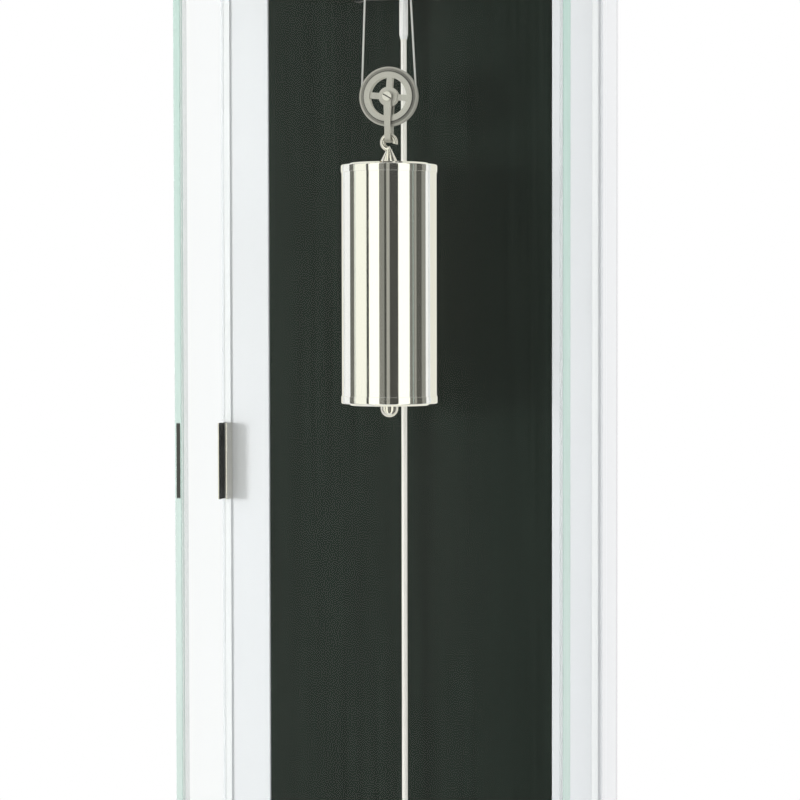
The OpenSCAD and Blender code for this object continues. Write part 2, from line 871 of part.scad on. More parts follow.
module back_plate() {
  color("#26282a") {
    plate(back_plate_y, plate_t) difference() {
      union() {
        plate_shape();
        for (side = [-1, 1]) {
          translate([side * leg_x - leg_w / 2, leg_end + leg_w / 2]) square([leg_w, plate_end - leg_end]);
          translate([side * leg_x, leg_end + leg_w / 2]) circle(leg_w / 2);
        }
      }
      train_holes();
      pivot_hole(0, centre_z, pivot_r);
      pivot_hole(0, barrel_z, pivot_r);
      pivot_hole(0, pivot_z, arbor_r);
    }
    for (side = [-1, 1], z = [post_top, post_low]) disc(side * leg_x, z, back_in_y, post_nut_t, post_nut_r);
    disc(line_stud_x, line_stud_z, back_in_y, back_in_y - line_y + lug_w / 2, line_stud_r);
    block(
      [line_stud_x - lug_w / 2, line_y - lug_w / 2, line_stud_z - lug_l],
      [line_stud_x + lug_w / 2, line_y + lug_w / 2, line_stud_z]
    );
  }
}

module front_plate() {
  color("#d9c27a") {
    plate(front_in_y, plate_t) difference() {
      plate_shape();
      train_holes();
      pivot_hole(0, pivot_z, pivot_r);
      pivot_hole(0, centre_z, arbor_r);
      pivot_hole(0, barrel_z, wind_arbor_r);
    }
    disc(motion_d, centre_z, front_out_y, dial_gap - 1.5, stud_r);
    disc(motion_d, centre_z, front_out_y - dial_gap + 2.1, 0.8, stud_r + 1);
  }
}

module pillars() {
  color("#d9c27a") for (side = [-1, 1], z = [plate_top - pillar_inset, plate_end + pillar_inset]) {
    disc(side * pillar_x, z, back_in_y, plate_gap, pillar_r);
    disc(side * pillar_x, z, back_in_y, collar_l, collar_r);
    disc(side * pillar_x, z, front_in_y + collar_l, collar_l, collar_r);
    disc(side * pillar_x, z, front_out_y, 2, pillar_r - 0.5);
  }
}

module dial_plate() {
  color("#f2f2ee") {
    plate(dial_y, dial_t) difference() {
      translate([0, centre_z]) circle(dial_r);
      translate([0, centre_z]) circle(cannon_r + pipe_fit + hour_wall + 0.5);
      translate([0, escape_z]) circle(pivot_r + 1);
      translate([0, barrel_z]) circle(wind_arbor_r + 1.5);
    }
    for (place = [[0, foot_up], [-foot_side, -foot_down], [foot_side, -foot_down]]) {
      disc(place[0], centre_z + place[1], front_out_y, dial_gap, foot_r);
    }
  }
}

module chapter_ring() {
  color("#d9dadb") {
    plate(face_y, chapter_t) translate([0, centre_z]) difference() {
      circle(dial_r - 1);
      circle(chapter_r);
    }
    plate(face_y, chapter_t / 2) translate([0, escape_z]) difference() {
      circle(seconds_r);
      circle(seconds_r - seconds_w);
    }
  }
  color("#1c1c1c") plate(face_y - chapter_t, marker_t) translate([0, centre_z]) {
    for (i = [0:11]) rotate(i * 30) translate([chapter_r + marker_in, -marker_w / 2]) square([marker_l, marker_w]);
  }
}

module suspension_cock() {
  top = plate_top;
  foot_z = chop_top_low + 1;
  rear = rod_y + spring_w / 2 + cock_lip;
  color("silver") {
    block([-cock_w / 2, back_plate_y, foot_z], [cock_w / 2, back_plate_y + cock_t, top]);
    block([-chop_w / 2 - cock_lip, back_plate_y + cock_t - eps, top - cock_bar_h], [chop_w / 2 + cock_lip, rear, top]);
    difference() {
      block([-chop_w / 2, 2 * rod_y - rear, chop_top_low], [chop_w / 2, rear, top - cock_bar_h + eps]);
      block([-chop_play, rod_y - spring_w, chop_top_low - 1], [chop_play, rod_y + spring_w, chop_top_low + slot_h]);
    }
  }
}

module beat_scale() {
  color("silver") {
    block([-scale_w / 2, front_y - scale_t, scale_z - 20], [scale_w / 2, front_y, scale_z]);
    block([-scale_w / 2, front_y - scale_d, scale_z - scale_t], [scale_w / 2, front_y - scale_t + eps, scale_z]);
  }
}

// the line, on both sides of the pulley

// a straight line whose ends are level
module line_run(x0, z0, x1, z1) {
  sides = 8;
  ring = [for (i = [0:sides - 1]) line_r * [cos(i * 360 / sides), sin(i * 360 / sides)]];
  points = concat([for (p = ring) [x0 + p[0], line_y + p[1], z0]], [for (p = ring) [x1 + p[0], line_y + p[1], z1]]);
  faces = concat(
    [[for (i = [0:sides - 1]) i]],
    [[for (i = [sides - 1:-1:0]) sides + i]],
    [for (i = [0:sides - 1]) [(i + 1) % sides, i, sides + i]],
    [for (i = [0:sides - 1]) [(i + 1) % sides, sides + i, sides + (i + 1) % sides]]
  );
  polyhedron(points, faces);
}

module line_left() {
  color("#c9c9c6") line_run(-groove_r, pulley_z, -wind_r, barrel_z - 2 * line_r);
}

module line_right() {
  color("#c9c9c6") line_run(groove_r, pulley_z, line_stud_x, line_stud_z - lug_l);
}

// the line wound on the barrel, as one tube
wind_sides = 6;
wind_steps = 24;
wind_rings = wind_turns * wind_steps;
function wind_centre(k) =
  let (a = 180 - k * 360 / wind_steps)
  [wind_r * cos(a), line_y + k * wind_pitch / wind_steps, barrel_z + wind_r * sin(a)];
function wind_out(k) = let (a = 180 - k * 360 / wind_steps) [cos(a), 0, sin(a)];
function wind_ring(c, u) = [
  for (i = [0:wind_sides - 1]) c + line_r * (cos(i * 360 / wind_sides) * u + sin(i * 360 / wind_sides) * [0, 1, 0])
];
wind_points = concat(
  wind_ring([-wind_r, line_y, barrel_z - 2 * line_r], wind_out(0)),
  [for (k = [0:wind_rings]) each wind_ring(wind_centre(k), wind_out(k))],
  wind_ring([-wind_r, wind_back_y, barrel_z + 2 * line_r], wind_out(0))
);
wind_last = wind_rings + 2;
echo(least_gap_of_winding = min([
  for (k = [0:wind_steps], j = [k + wind_steps / 2:wind_steps * 2]) norm(wind_centre(k) - wind_centre(j)) - 2 * line_r
]));

module line_winding() {
  color("#c9c9c6") polyhedron(wind_points, concat(
    [[for (i = [wind_sides - 1:-1:0]) i]],
    [[for (i = [0:wind_sides - 1]) wind_last * wind_sides + i]],
    [for (k = [0:wind_last - 1], i = [0:wind_sides - 1])
      [k * wind_sides + i, k * wind_sides + (i + 1) % wind_sides, (k + 1) * wind_sides + i]],
    [for (k = [0:wind_last - 1], i = [0:wind_sides - 1])
      [k * wind_sides + (i + 1) % wind_sides, (k + 1) * wind_sides + (i + 1) % wind_sides, (k + 1) * wind_sides + i]]
  ));
}

// going train

module centre_arbor() {
  color("#9aa0a4") {
    arbor(0, centre_z);
    disc(0, centre_z, front_in_y + end_shake, front_in_y - minute_hand_y + hand_t + 1, arbor_r);
    plate(great_y + pinion_over, great_t + 2 * pinion_over) translate([0, centre_z]) pinion_teeth(pinion_n, great_m, 270 + 180 / pinion_n);
    plate(cannon_y, 2) translate([0, centre_z]) pinion_teeth(pinion_n, motion_m, 0);
    disc(0, centre_z, front_out_y - 0.5, front_out_y - minute_hand_y - 0.5 + hand_t, cannon_r);
  }
}

module centre_wheel() {
  color("#d9b84a") plate(centre_y, wheel_t) translate([0, centre_z]) crossed_wheel(centre_n, centre_m, third_turn, 6, arbor_r, crossing_w);
}

module third_arbor() {
  color("#d9b84a") {
    arbor(third_x, third_z);
    plate(centre_y + pinion_over, wheel_t + 2 * pinion_over) translate([third_x, third_z]) pinion_teeth(pinion_n, centre_m, third_turn + 180 + 180 / pinion_n);
    plate(third_y, wheel_t) translate([third_x, third_z]) crossed_wheel(third_n, third_m, escape_turn, 5, arbor_r - 0.1, crossing_w);
  }
}

module escape_arbor() {
  color("#9aa0a4") {
    arbor(0, escape_z);
    disc(0, escape_z, front_in_y, front_in_y - second_y + hand_t, pivot_r);
    plate(third_y + pinion_over, wheel_t + 2 * pinion_over) translate([0, escape_z]) pinion_teeth(pinion_n, third_m, escape_turn + 180 + 180 / pinion_n);
  }
}

// deadbeat escape wheel, which turns clockwise seen from the front
module escape_wheel() {
  root = escape_r - 4;
  step = 360 / escape_n;
  teeth = [for (i = [0:escape_n - 1]) each [
    polar(root, i * step + 1.8), polar(escape_r, i * step), polar(escape_r, i * step + 0.8), polar(root, i * step + 6.5)
  ]];
  color("#d9b84a") plate(escape_y, escape_t) translate([0, escape_z]) difference() {
    polygon(teeth);
    windows(5, root - 2, 5, 2.4, 90);
    circle(arbor_r);
  }
}

module great_wheel() {
  click_d = flange_r + click_out;
  click_x = click_d * cos(click_a);
  click_z = barrel_z + click_d * sin(click_a);
  color("#d9b84a") {
    plate(great_y, great_t) translate([0, barrel_z]) crossed_wheel(great_n, great_m, 90, great_hub_r, wind_arbor_r + pivot_fit, great_spoke_w);
    plate(great_y, great_t) translate([0, barrel_z]) difference() {
      rotate(click_a) translate([great_hub_r - click_r, -click_arm_w / 2]) square([click_d + 2, click_arm_w]);
      circle(wind_arbor_r + pivot_fit);
    }
  }
  color("silver") {
    disc(click_x, click_z, great_y + ratchet_t + 1, ratchet_t + 1 + great_t / 2, click_pin_r);
    plate(great_y + ratchet_t + end_shake / 2, ratchet_t) difference() {
      union() {
        translate([click_x, click_z]) circle(click_r);
        translate([click_x, click_z]) polygon([
          polar(click_r, click_a + 90), polar(click_r, click_a - 90),
          polar(click_l, click_a + 158), polar(click_l, click_a + 146)
        ]);
      }
      translate([0, barrel_z]) circle(ratchet_r + 0.3);
    }
    disc(click_x, click_z, great_y + 0.3, 0.4, click_r);
  }
}

module barrel() {
  ratchet_step = 360 / ratchet_n;
  ratchet = [for (i = [0:ratchet_n - 1]) each [
    polar(ratchet_r, i * ratchet_step), polar(ratchet_r - ratchet_tooth, i * ratchet_step + 0.6)
  ]];
  color("#d9b84a") {
    disc(0, barrel_z, flange_back_y + flange_t, flange_t, flange_r);
    disc(0, barrel_z, flange_back_y, flange_back_y - flange_front_y, drum_r);
    disc(0, barrel_z, flange_front_y, flange_t, flange_r);
    plate(ratchet_y, ratchet_t) translate([0, barrel_z]) polygon(ratchet);
  }
  color("#9aa0a4") {
    disc(0, barrel_z, back_plate_y, back_plate_y - flange_back_y, pivot_r);
    disc(0, barrel_z, ratchet_y, ratchet_y - front_out_y, wind_arbor_r);
    plate(front_out_y, front_out_y - face_y + 1.3) translate([0, barrel_z]) square(square_w, center = true);
  }
}

// motion work and hands

module minute_wheel() {
  color("#d9b84a") {
    plate(cannon_y, 2) translate([motion_d, centre_z]) crossed_wheel(minute_n, motion_m, 180 + 180 / minute_n, 4.5, stud_r + pivot_fit, 2.4);
    plate(cannon_y - 2 + eps, 2.3) translate([motion_d, centre_z]) difference() {
      pinion_teeth(pinion_n, hour_m, 180);
      circle(stud_r + pivot_fit);
    }
  }
}

module hour_wheel() {
  bore = cannon_r + pipe_fit;
  color("#d9b84a") {
    plate(hour_y, 1.5) translate([0, centre_z]) crossed_wheel(hour_n, hour_m, 180 / hour_n, 6, bore, 2.4);
    plate(hour_y - 1.5 + eps, hour_y - 1.5 - hour_hand_y + hand_t) translate([0, centre_z]) difference() {
      circle(bore + hour_wall);
      circle(bore);
    }
  }
}

// a slender hand that points up, with a boss and a tail
module hand_shape(length, boss, bore, w, tail) {
  difference() {
    union() {
      circle(boss);
      polygon([
        [-w * 0.8, -tail], [w * 0.8, -tail], [w / 2, 0], [w * 0.7, length * 0.62],
        [0.4, length], [-0.4, length], [-w * 0.7, length * 0.62], [-w / 2, 0]
      ]);
    }
    circle(bore);
  }
}

module minute_hand() {
  color("#1b1f2a") plate(minute_hand_y, hand_t) translate([0, centre_z]) rotate(-minute_at) hand_shape(minute_l, cannon_r + 2.2, cannon_r, minute_w, minute_tail);
}

module hour_hand() {
  pipe_r = cannon_r + pipe_fit + hour_wall;
  color("#1b1f2a") plate(hour_hand_y, hand_t) translate([0, centre_z]) rotate(-hour_at) {
    hand_shape(hour_l, pipe_r + 2.3, pipe_r, hour_w, hour_tail);
  }
}

module second_hand() {
  color("#1b1f2a") plate(second_y, hand_t) translate([0, escape_z]) rotate(-second_at) hand_shape(second_l, pivot_r + 1.6, pivot_r, second_w, second_tail);
}

// escapement and crutch

module anchor() {
  wheel_drop = pivot_z - escape_z;
  nib_in = escape_r + pallet_gap;
  arm_in = escape_r + arm_gap;
  color("#9aa0a4") {
    disc(0, pivot_z, crutch_y - crutch_t / 2, crutch_y - crutch_t / 2 - front_in_y - end_shake, arbor_r);
    disc(0, pivot_z, front_in_y + end_shake, plate_t + end_shake, pivot_r);
    plate(anchor_y, anchor_t) translate([0, pivot_z]) {
      circle(anchor_hub_r);
      translate([0, -wheel_drop]) {
        intersection() {
          difference() {
            circle(arm_in + anchor_w);
            circle(arm_in);
          }
          polygon([[0, 0], polar(3 * escape_r, pallet_a - 2), [0, 3 * escape_r], polar(3 * escape_r, 182 - pallet_a)]);
        }
        for (a = [pallet_a, 180 - pallet_a]) {
          rotate(a) translate([nib_in, -pallet_w / 2]) square([arm_in + anchor_w - nib_in, pallet_w]);
        }
      }
    }
  }
}

module crutch() {
  low = pivot_z - crutch_l;
  color("silver") {
    difference() {
      union() {
        disc(0, pivot_z, crutch_y, crutch_hub_l, crutch_hub_r);
        plate(arm_y, crutch_t) polygon([
          [-crutch_w / 2, pivot_z], [crutch_w / 2, pivot_z],
          [crutch_w / 2 - crutch_taper, low], [crutch_taper - crutch_w / 2, low]
        ]);
      }
      disc(0, pivot_z, crutch_y - crutch_t / 2, 10, arbor_r);
    }
    block(
      [-crosspiece_w / 2, arm_y - crutch_t, low - crosspiece_w / 4],
      [crosspiece_w / 2, arm_y + 0.5, low + crosspiece_w / 4]
    );
    for (side = [-1, 1]) {
      x = side * (sleeve_r + fork_gap + fork_t / 2);
      block([x - fork_t / 2, arm_y - 1, low - fork_h / 2], [x + fork_t / 2, rod_y + sleeve_r, low + fork_h / 2]);
      translate([side * crosspiece_w / 2, arm_y - crutch_t / 2, low]) {
        rotate([0, side * 90, 0]) cylinder(h = crutch_t, r = beat_screw_r);
      }
    }
  }
}

// pendulum

module suspension_spring() {
  color("#b9bcc0") block(
    [-spring_t / 2, rod_y - spring_w / 2, hook_block_top],
    [spring_t / 2, rod_y + spring_w / 2, chop_top_low + 3.5]
  );
}

module pendulum_rod() {
  block_low = hook_block_top - hook_block_h;
  color("#eeeae0") {
    block([-chop_w / 2, rod_y - spring_w / 2, block_low], [chop_w / 2, rod_y + spring_w / 2, hook_block_top]);
    translate([0, rod_y, rod_end]) cylinder(h = block_low - rod_end, r = rod_r);
    translate([0, rod_y, tip_end]) cylinder(h = tip_l, r1 = 0.5, r2 = rod_r);
  }
}

module rod_sleeve() {
  color("#f4f4f2") difference() {
    translate([0, rod_y, 0]) union() {
      translate([0, 0, sleeve_low]) cylinder(h = hook_block_top - hook_block_h - sleeve_low, r = sleeve_r);
      translate([0, 0, sleeve_low - neck_l]) cylinder(h = neck_l, r = (rod_r + sleeve_r) / 2);
    }
    translate([0, rod_y, sleeve_low - neck_l - 1]) cylinder(h = sleeve_end, r = rod_r);
  }
}

// a lens-shaped bob, hung on the rating nut by its ferrule
module bob() {
  rise = (bob_t - bob_edge) / 2;
  face_r = (bob_r * bob_r + rise * rise) / (2 * rise);
  color("#d8d8d4") difference() {
    union() {
      turned(0, bob_z, rod_y) intersection() {
        translate([0, bob_t / 2 - face_r]) circle(face_r, $fn = 360);
        translate([0, face_r - bob_t / 2]) circle(face_r, $fn = 360);
        translate([0, -bob_t / 2]) square([bob_r, bob_t]);
      }
      translate([0, rod_y, ferrule_end]) cylinder(h = ferrule_l + bob_edge, r = rod_r + ferrule_wall);
    }
    translate([0, rod_y, ferrule_end - 1]) cylinder(h = 2 * bob_r + ferrule_l + 10, r = rod_r + bob_fit);
  }
}

module rating_nut() {
  grips = 12;
  color("#d9c27a") difference() {
    translate([0, rod_y, 0]) union() {
      translate([0, 0, nut_top - nut_h]) cylinder(h = nut_h - nut_step, r = nut_r);
      translate([0, 0, nut_top - nut_step]) cylinder(h = nut_step, r = nut_r - 1.5 * nut_step);
      translate([0, 0, nut_top - nut_h - 3 * nut_step]) cylinder(h = 3 * nut_step + eps, r = nut_r - 4 * nut_step);
    }
    translate([0, rod_y, nut_top - 2 * nut_h]) cylinder(h = 3 * nut_h, r = rod_r + bob_fit);
    for (i = [0:grips - 1]) translate([0, rod_y, 0]) rotate(i * 360 / grips) {
      translate([nut_r + grip_r / 2, 0, nut_top - nut_h - 1]) cylinder(h = nut_h + 2, r = grip_r, $fn = 16);
    }
  }
}

// drive weight

module pulley() {
  color("#cfd0ce") {
    turned(0, pulley_z, line_y) polygon([
      [pulley_rim_r, -pulley_t / 2], [pulley_face_r, -pulley_t / 2], [pulley_face_r, -pulley_t / 2 + 0.6],
      [pulley_r, -pulley_t / 2 + 1], [pulley_r, -line_r - 0.9], [groove_r - line_r - 0.35, -line_r - 0.3],
      [groove_r - line_r - 0.35, line_r + 0.3], [pulley_r, line_r + 0.9], [pulley_r, pulley_t / 2 - 1],
      [pulley_face_r, pulley_t / 2 - 0.6], [pulley_face_r, pulley_t / 2], [pulley_rim_r, pulley_t / 2]
    ]);
    plate(line_y + pulley_t / 2, pulley_t) translate([0, pulley_z]) difference() {
      circle(hub_r);
      circle(screw_r + pivot_fit);
    }
    plate(line_y + pulley_t / 2 - 1, pulley_t - 2) translate([0, pulley_z]) difference() {
      intersection() {
        for (i = [0:1]) rotate(i * 90 - spoke_turn) square([2 * pulley_r, spoke_w], center = true);
        circle(pulley_rim_r + 0.5);
      }
      circle(hub_r - 0.5);
    }
  }
}

module strap_leg(y) {
  plate(y, strap_t) difference() {
    union() {
      translate([0, pulley_z]) circle(strap_eye_w / 2 + 0.8);
      polygon([
        [-strap_eye_w / 2, pulley_z], [strap_eye_w / 2, pulley_z], [strap_w / 2, bend_z + 4],
        [strap_w / 2, bend_z], [-strap_w / 2, bend_z], [-strap_w / 2, bend_z + 4]
      ]);
    }
  }
}

module stirrup() {
  slot_turn = 30;
  color("#c4c5c4") {
    strap_leg(line_y - bend_r + strap_t);
    strap_leg(line_y + bend_r);
    intersection() {
      translate([-strap_w / 2, line_y, bend_z]) rotate([0, 90, 0]) difference() {
        cylinder(h = strap_w, r = bend_r);
        translate([0, 0, -1]) cylinder(h = strap_w + 2, r = bend_r - strap_t);
      }
      block([-strap_w, line_y - 2 * bend_r, bend_z - 2 * bend_r], [strap_w, line_y + 2 * bend_r, bend_z + eps]);
    }
    disc(0, pulley_z, line_y + bend_r + head_h, 2 * (bend_r + head_h / 2), screw_r);
    disc(0, pulley_z, line_y + bend_r + head_h, head_h, head_r);
    difference() {
      disc(0, pulley_z, line_y - bend_r, head_h, head_r);
      translate([0, line_y - bend_r - head_h, pulley_z]) {
        rotate([0, slot_turn, 0]) cube([3 * head_r, head_h, slot_w], center = true);
      }
    }
  }
}

module line_bend() {
  color("#c9c9c6") translate([0, line_y, pulley_z]) rotate([90, 0, 0]) rotate([0, 0, 180]) {
    rotate_extrude(angle = 180) translate([groove_r, 0]) circle(line_r, $fn = 16);
  }
}

// a ring of round wire, open at its lower right
module hook_ring(tip) {
  difference() {
    rotate_extrude() translate([hook_r, 0]) circle(hook_wire_r, $fn = 32);
    translate([0, 0, -hook_r]) linear_extrude(2 * hook_r) polygon([
      [0, 0], polar(3 * hook_r, 280), polar(3 * hook_r, 312), polar(3 * hook_r, 360 + tip)
    ]);
  }
}

// the hook is one piece with its cone and the tie rod
module weight_hook() {
  tip = -15;
  color("#cfcfcb") {
    translate([0, line_y, hook_z]) rotate([90, 0, 0]) {
      hook_ring(tip);
      rotate([0, 0, tip]) translate([hook_r, 0, 0]) sphere(hook_wire_r - 0.05, $fn = 32);
    }
    translate([0, line_y, cone_top - 0.5]) cylinder(h = 1.3, r = cone_top_r);
    translate([0, line_y, weight_top]) cylinder(h = cone_h, r1 = cone_r, r2 = cone_top_r);
    translate([0, line_y, weight_end - dome_h / 2]) cylinder(h = weight_l + dome_h / 2, r = tie_r);
  }
}

// a raised disc inside a rounded rim
module cap_profile(bore) {
  rim = cap_r - cap_round;
  polygon(concat(
    [[bore, -cap_h], [bore, 0], [cap_disc_r, 0], [cap_disc_r + cap_rise, -cap_rise]],
    [for (k = [0:4]) let (a = 90 * k / 4) [rim + cap_round * sin(a), -cap_rise - cap_round * (1 - cos(a))]],
    [[cap_r, -cap_h]]
  ));
}

module weight_top_cap() {
  color("#d8d7d2") translate([0, line_y, weight_top]) rotate_extrude() cap_profile(tie_r + 0.05);
}

module weight_bottom_cap() {
  color("#d8d7d2") translate([0, line_y, weight_end]) mirror([0, 0, 1]) rotate_extrude() cap_profile(tie_r + 0.05);
}

module weight_tube(outer, inner) {
  translate([0, line_y, weight_end + cap_h]) linear_extrude(weight_l - 2 * cap_h) difference() {
    circle(outer);
    circle(inner);
  }
}

module weight_shell() {
  color("#dcdbd6") weight_tube(weight_r, weight_r - shell_t);
}

module weight_core() {
  color("#5a5d60") weight_tube(core_r, tie_r + 0.05);
}

module dome_nut() {
  color("#c9b37c") difference() {
    union() {
      translate([0, line_y, weight_end - dome_h + dome_r]) cylinder(h = dome_h - dome_r, r = dome_r);
      intersection() {
        translate([0, line_y, weight_end - dome_h + dome_r]) sphere(dome_r);
        translate([-dome_r, line_y - dome_r, weight_end - dome_h - 1]) cube([2 * dome_r, 2 * dome_r, dome_r + 1]);
      }
    }
    translate([0, line_y, weight_end - dome_h / 2]) cylinder(h = dome_h, r = tie_r + 0.05);
  }
}

case_side_left();
case_side_right();
case_top_rail();
case_bottom_rail();
front_board();
black_panel();
back_board();
hanging_plate();
wall_buffers();
case_hinges();
catch_magnet();
base_plate();
back_plate();
front_plate();
pillars();
dial_plate();
chapter_ring();
suspension_cock();
beat_scale();
line_left();
line_right();
hood_front_pane();
hood_left_pane();
hood_right_pane();
hood_top_pane();
hood_bottom_pane();
hood_beads();
hood_hinges();
catch_clip();
clip_pad();
centre_arbor();
centre_wheel();
minute_hand();
third_arbor();
escape_arbor();
escape_wheel();
second_hand();
great_wheel();
barrel();
line_winding();
minute_wheel();
hour_wheel();
hour_hand();
anchor();
crutch();
suspension_spring();
pendulum_rod();
rod_sleeve();
bob();
rating_nut();
pulley();
stirrup();
line_bend();
weight_hook();
weight_shell();
weight_top_cap();
weight_bottom_cap();
weight_core();
dome_nut();
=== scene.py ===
import json
from math import cos, pi, radians, sin, tan

import bmesh
import bpy
from mathutils import Euler, Matrix, Vector

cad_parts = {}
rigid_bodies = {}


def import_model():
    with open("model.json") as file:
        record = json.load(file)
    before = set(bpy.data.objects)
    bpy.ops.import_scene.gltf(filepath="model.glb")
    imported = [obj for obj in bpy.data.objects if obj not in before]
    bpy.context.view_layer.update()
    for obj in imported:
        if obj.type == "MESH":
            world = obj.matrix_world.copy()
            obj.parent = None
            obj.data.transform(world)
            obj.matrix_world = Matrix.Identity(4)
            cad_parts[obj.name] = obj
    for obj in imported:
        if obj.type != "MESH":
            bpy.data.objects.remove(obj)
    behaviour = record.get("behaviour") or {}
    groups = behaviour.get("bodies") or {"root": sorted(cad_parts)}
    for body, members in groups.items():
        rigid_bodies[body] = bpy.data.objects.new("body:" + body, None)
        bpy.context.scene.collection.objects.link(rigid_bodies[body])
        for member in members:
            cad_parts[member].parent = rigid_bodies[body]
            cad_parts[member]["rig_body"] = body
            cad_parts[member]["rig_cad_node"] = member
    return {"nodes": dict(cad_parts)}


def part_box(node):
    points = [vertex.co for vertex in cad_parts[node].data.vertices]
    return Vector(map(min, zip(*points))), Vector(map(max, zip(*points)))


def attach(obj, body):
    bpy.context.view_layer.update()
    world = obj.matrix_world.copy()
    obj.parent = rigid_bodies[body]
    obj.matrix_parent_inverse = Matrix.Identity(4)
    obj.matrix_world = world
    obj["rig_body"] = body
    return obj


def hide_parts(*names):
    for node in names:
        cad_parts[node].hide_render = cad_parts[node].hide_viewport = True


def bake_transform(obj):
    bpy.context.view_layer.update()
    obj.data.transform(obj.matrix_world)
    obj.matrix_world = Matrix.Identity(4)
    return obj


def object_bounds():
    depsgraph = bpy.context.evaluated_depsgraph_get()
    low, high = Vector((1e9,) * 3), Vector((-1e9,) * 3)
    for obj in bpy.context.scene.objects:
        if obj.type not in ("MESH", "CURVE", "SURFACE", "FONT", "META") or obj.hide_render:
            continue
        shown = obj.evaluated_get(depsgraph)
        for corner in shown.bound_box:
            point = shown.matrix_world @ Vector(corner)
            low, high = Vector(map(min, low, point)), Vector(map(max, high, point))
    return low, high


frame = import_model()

bl_info = {
    "name": "Wall Regulator Clock",
    "version": (1, 0, 0),
    "blender": (4, 5, 0),
    "location": "3D View > Sidebar > Clock",
    "description": "Finishes a wall regulator clock: case, glass hood, movement, pendulum and weight",
    "category": "Object",
}

MM = 0.001
CAD_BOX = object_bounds()
RIGHT, FRONT, UP = Vector((1, 0, 0)), Vector((0, -1, 0)), Vector((0, 0, 1))
FACING = {
    "up": Euler((0, 0, 0)),
    "front": Euler((pi / 2, 0, 0)),
    "back": Euler((-pi / 2, 0, 0)),
    "right": Euler((0, pi / 2, 0)),
}
ROUND_FRONT, ROUND_UP = (1.0, 0.0, 1.0), (1.0, 1.0, 0.0)  # the axes that turned marks run round in
LINE_R = 0.75 * MM
PRINT_T = 0.1 * MM


def middle(node):
    """The middle of a CAD node's box."""
    low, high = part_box(node)
    return (low + high) / 2


def size_mm(node):
    """The size of a CAD node's box, in millimetres."""
    low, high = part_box(node)
    return (high - low) / MM


def corners(node, inset):
    """The places, across and up, at a distance from the corners of a CAD node's box."""
    low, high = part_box(node)
    return [(x, z) for x in (low.x + inset, high.x - inset) for z in (low.z + inset, high.z - inset)]


# Node trees


class Nodes:
    """A node tree with short calls for adding and linking nodes."""

    def __init__(self, tree, material=None):
        self.tree, self.material = tree, material

    def add(self, kind, inputs=None, **settings):
        node = self.tree.nodes.new(kind if kind.startswith("NodeGroup") else "ShaderNode" + kind)
        for setting, value in settings.items():
            setattr(node, setting, value)
        for socket, value in (inputs or {}).items():
            self.feed(node.inputs[socket], value)
        return node

    def feed(self, socket, value):
        if isinstance(value, bpy.types.NodeSocket):
            self.tree.links.new(value, socket)
        else:
            socket.default_value = value

    def fill(self, node, **values):
        for socket, value in values.items():
            self.feed(node.inputs[socket.replace("_", " ")], value)

    def place(self, *factors):
        """The place on the object, stretched by any factors that are given."""
        place = self.add("TexCoord").outputs["Object"]
        return self.vector("MULTIPLY", place, *factors) if factors else place

    def axes(self):
        return self.add("SeparateXYZ", {0: self.place()}).outputs

    def vector(self, operation, first, second=(0.0, 0.0, 0.0)):
        node = self.add("VectorMath", {0: first, 1: second}, operation=operation)
        return node.outputs["Value" if operation in ("LENGTH", "DOT_PRODUCT") else "Vector"]

    def noise(self, vector, scale, detail=3.0, roughness=0.5):
        sockets = {"Vector": vector, "Scale": scale, "Detail": detail, "Roughness": roughness}
        return self.add("TexNoise", sockets).outputs["Fac"]

    def span(self, value, low, high, to_low=0.0, to_high=1.0):
        sockets = {"Value": value, "From Min": low, "From Max": high, "To Min": to_low, "To Max": to_high}
        return self.add("MapRange", sockets).outputs["Result"]

    def math(self, operation, first, second=0.0):
        return self.add("Math", {0: first, 1: second}, operation=operation).outputs[0]

    def product(self, value, *factors):
        for factor in factors:
            value = self.math("MULTIPLY", value, factor)
        return value

    def mixed(self, share, first, second):
        return self.add("Mix", {0: share, 6: first, 7: second}, data_type="RGBA").outputs[2]

    def rough(self, height, low, high):
        return self.span(height, 0.3, 0.7, low, high)

    def behind(self):
        return self.add("NewGeometry").outputs["Backfacing"]

    def shaders(self, share, first, second):
        return self.add("MixShader", {0: share, 1: first, 2: second}).outputs[0]

    def effect(self, make, **sockets):
        node = self.add("Group", node_tree=bpy.data.node_groups.get(make.__name__) or make())
        self.fill(node, **sockets)
        return node.outputs

    def turned_round(self, node, density, across=ROUND_FRONT):
        return self.effect(turned_marks, Centre=tuple(middle(node)), Across=across, Density=density)

    def coat(self, tone, rough, height, relief, strength=0.5):
        """Gives a material its colour, its roughness, and a relief of some mm."""
        bump = self.add("Bump", {"Height": height, "Distance": relief * MM, "Strength": strength})
        shader = self.tree.nodes["Principled BSDF"]
        self.fill(shader, Base_Color=tone, Roughness=rough, Normal=bump.outputs["Normal"])
        return self.material


def shader_group(name, inputs, outputs):
    """Starts a shared effect, and returns its nodes, its input sockets and its end."""
    group = bpy.data.node_groups.new(name, "ShaderNodeTree")
    for socket, value in inputs.items():
        kind = "NodeSocketVector" if isinstance(value, tuple) else "NodeSocketFloat"
        group.interface.new_socket(socket, in_out="INPUT", socket_type=kind).default_value = value
    for socket in outputs:
        group.interface.new_socket(socket, in_out="OUTPUT", socket_type="NodeSocketFloat")
    nodes = Nodes(group)
    return nodes, nodes.add("NodeGroupInput").outputs, nodes.add("NodeGroupOutput")


def brushed():
    """Fine lines along one direction, with broad bands among them."""
    nodes, given, end = shader_group("brushed", {"Lines": (100.0, 100.0, 4000.0)}, ["Height", "Mask"])
    along = nodes.place(given["Lines"])
    bands = nodes.span(nodes.noise(along, 0.12, 2.0), 0.35, 0.65)
    nodes.fill(end, Height=nodes.noise(along, 1.0, 5.0, 0.65), Mask=bands)
    return nodes.tree


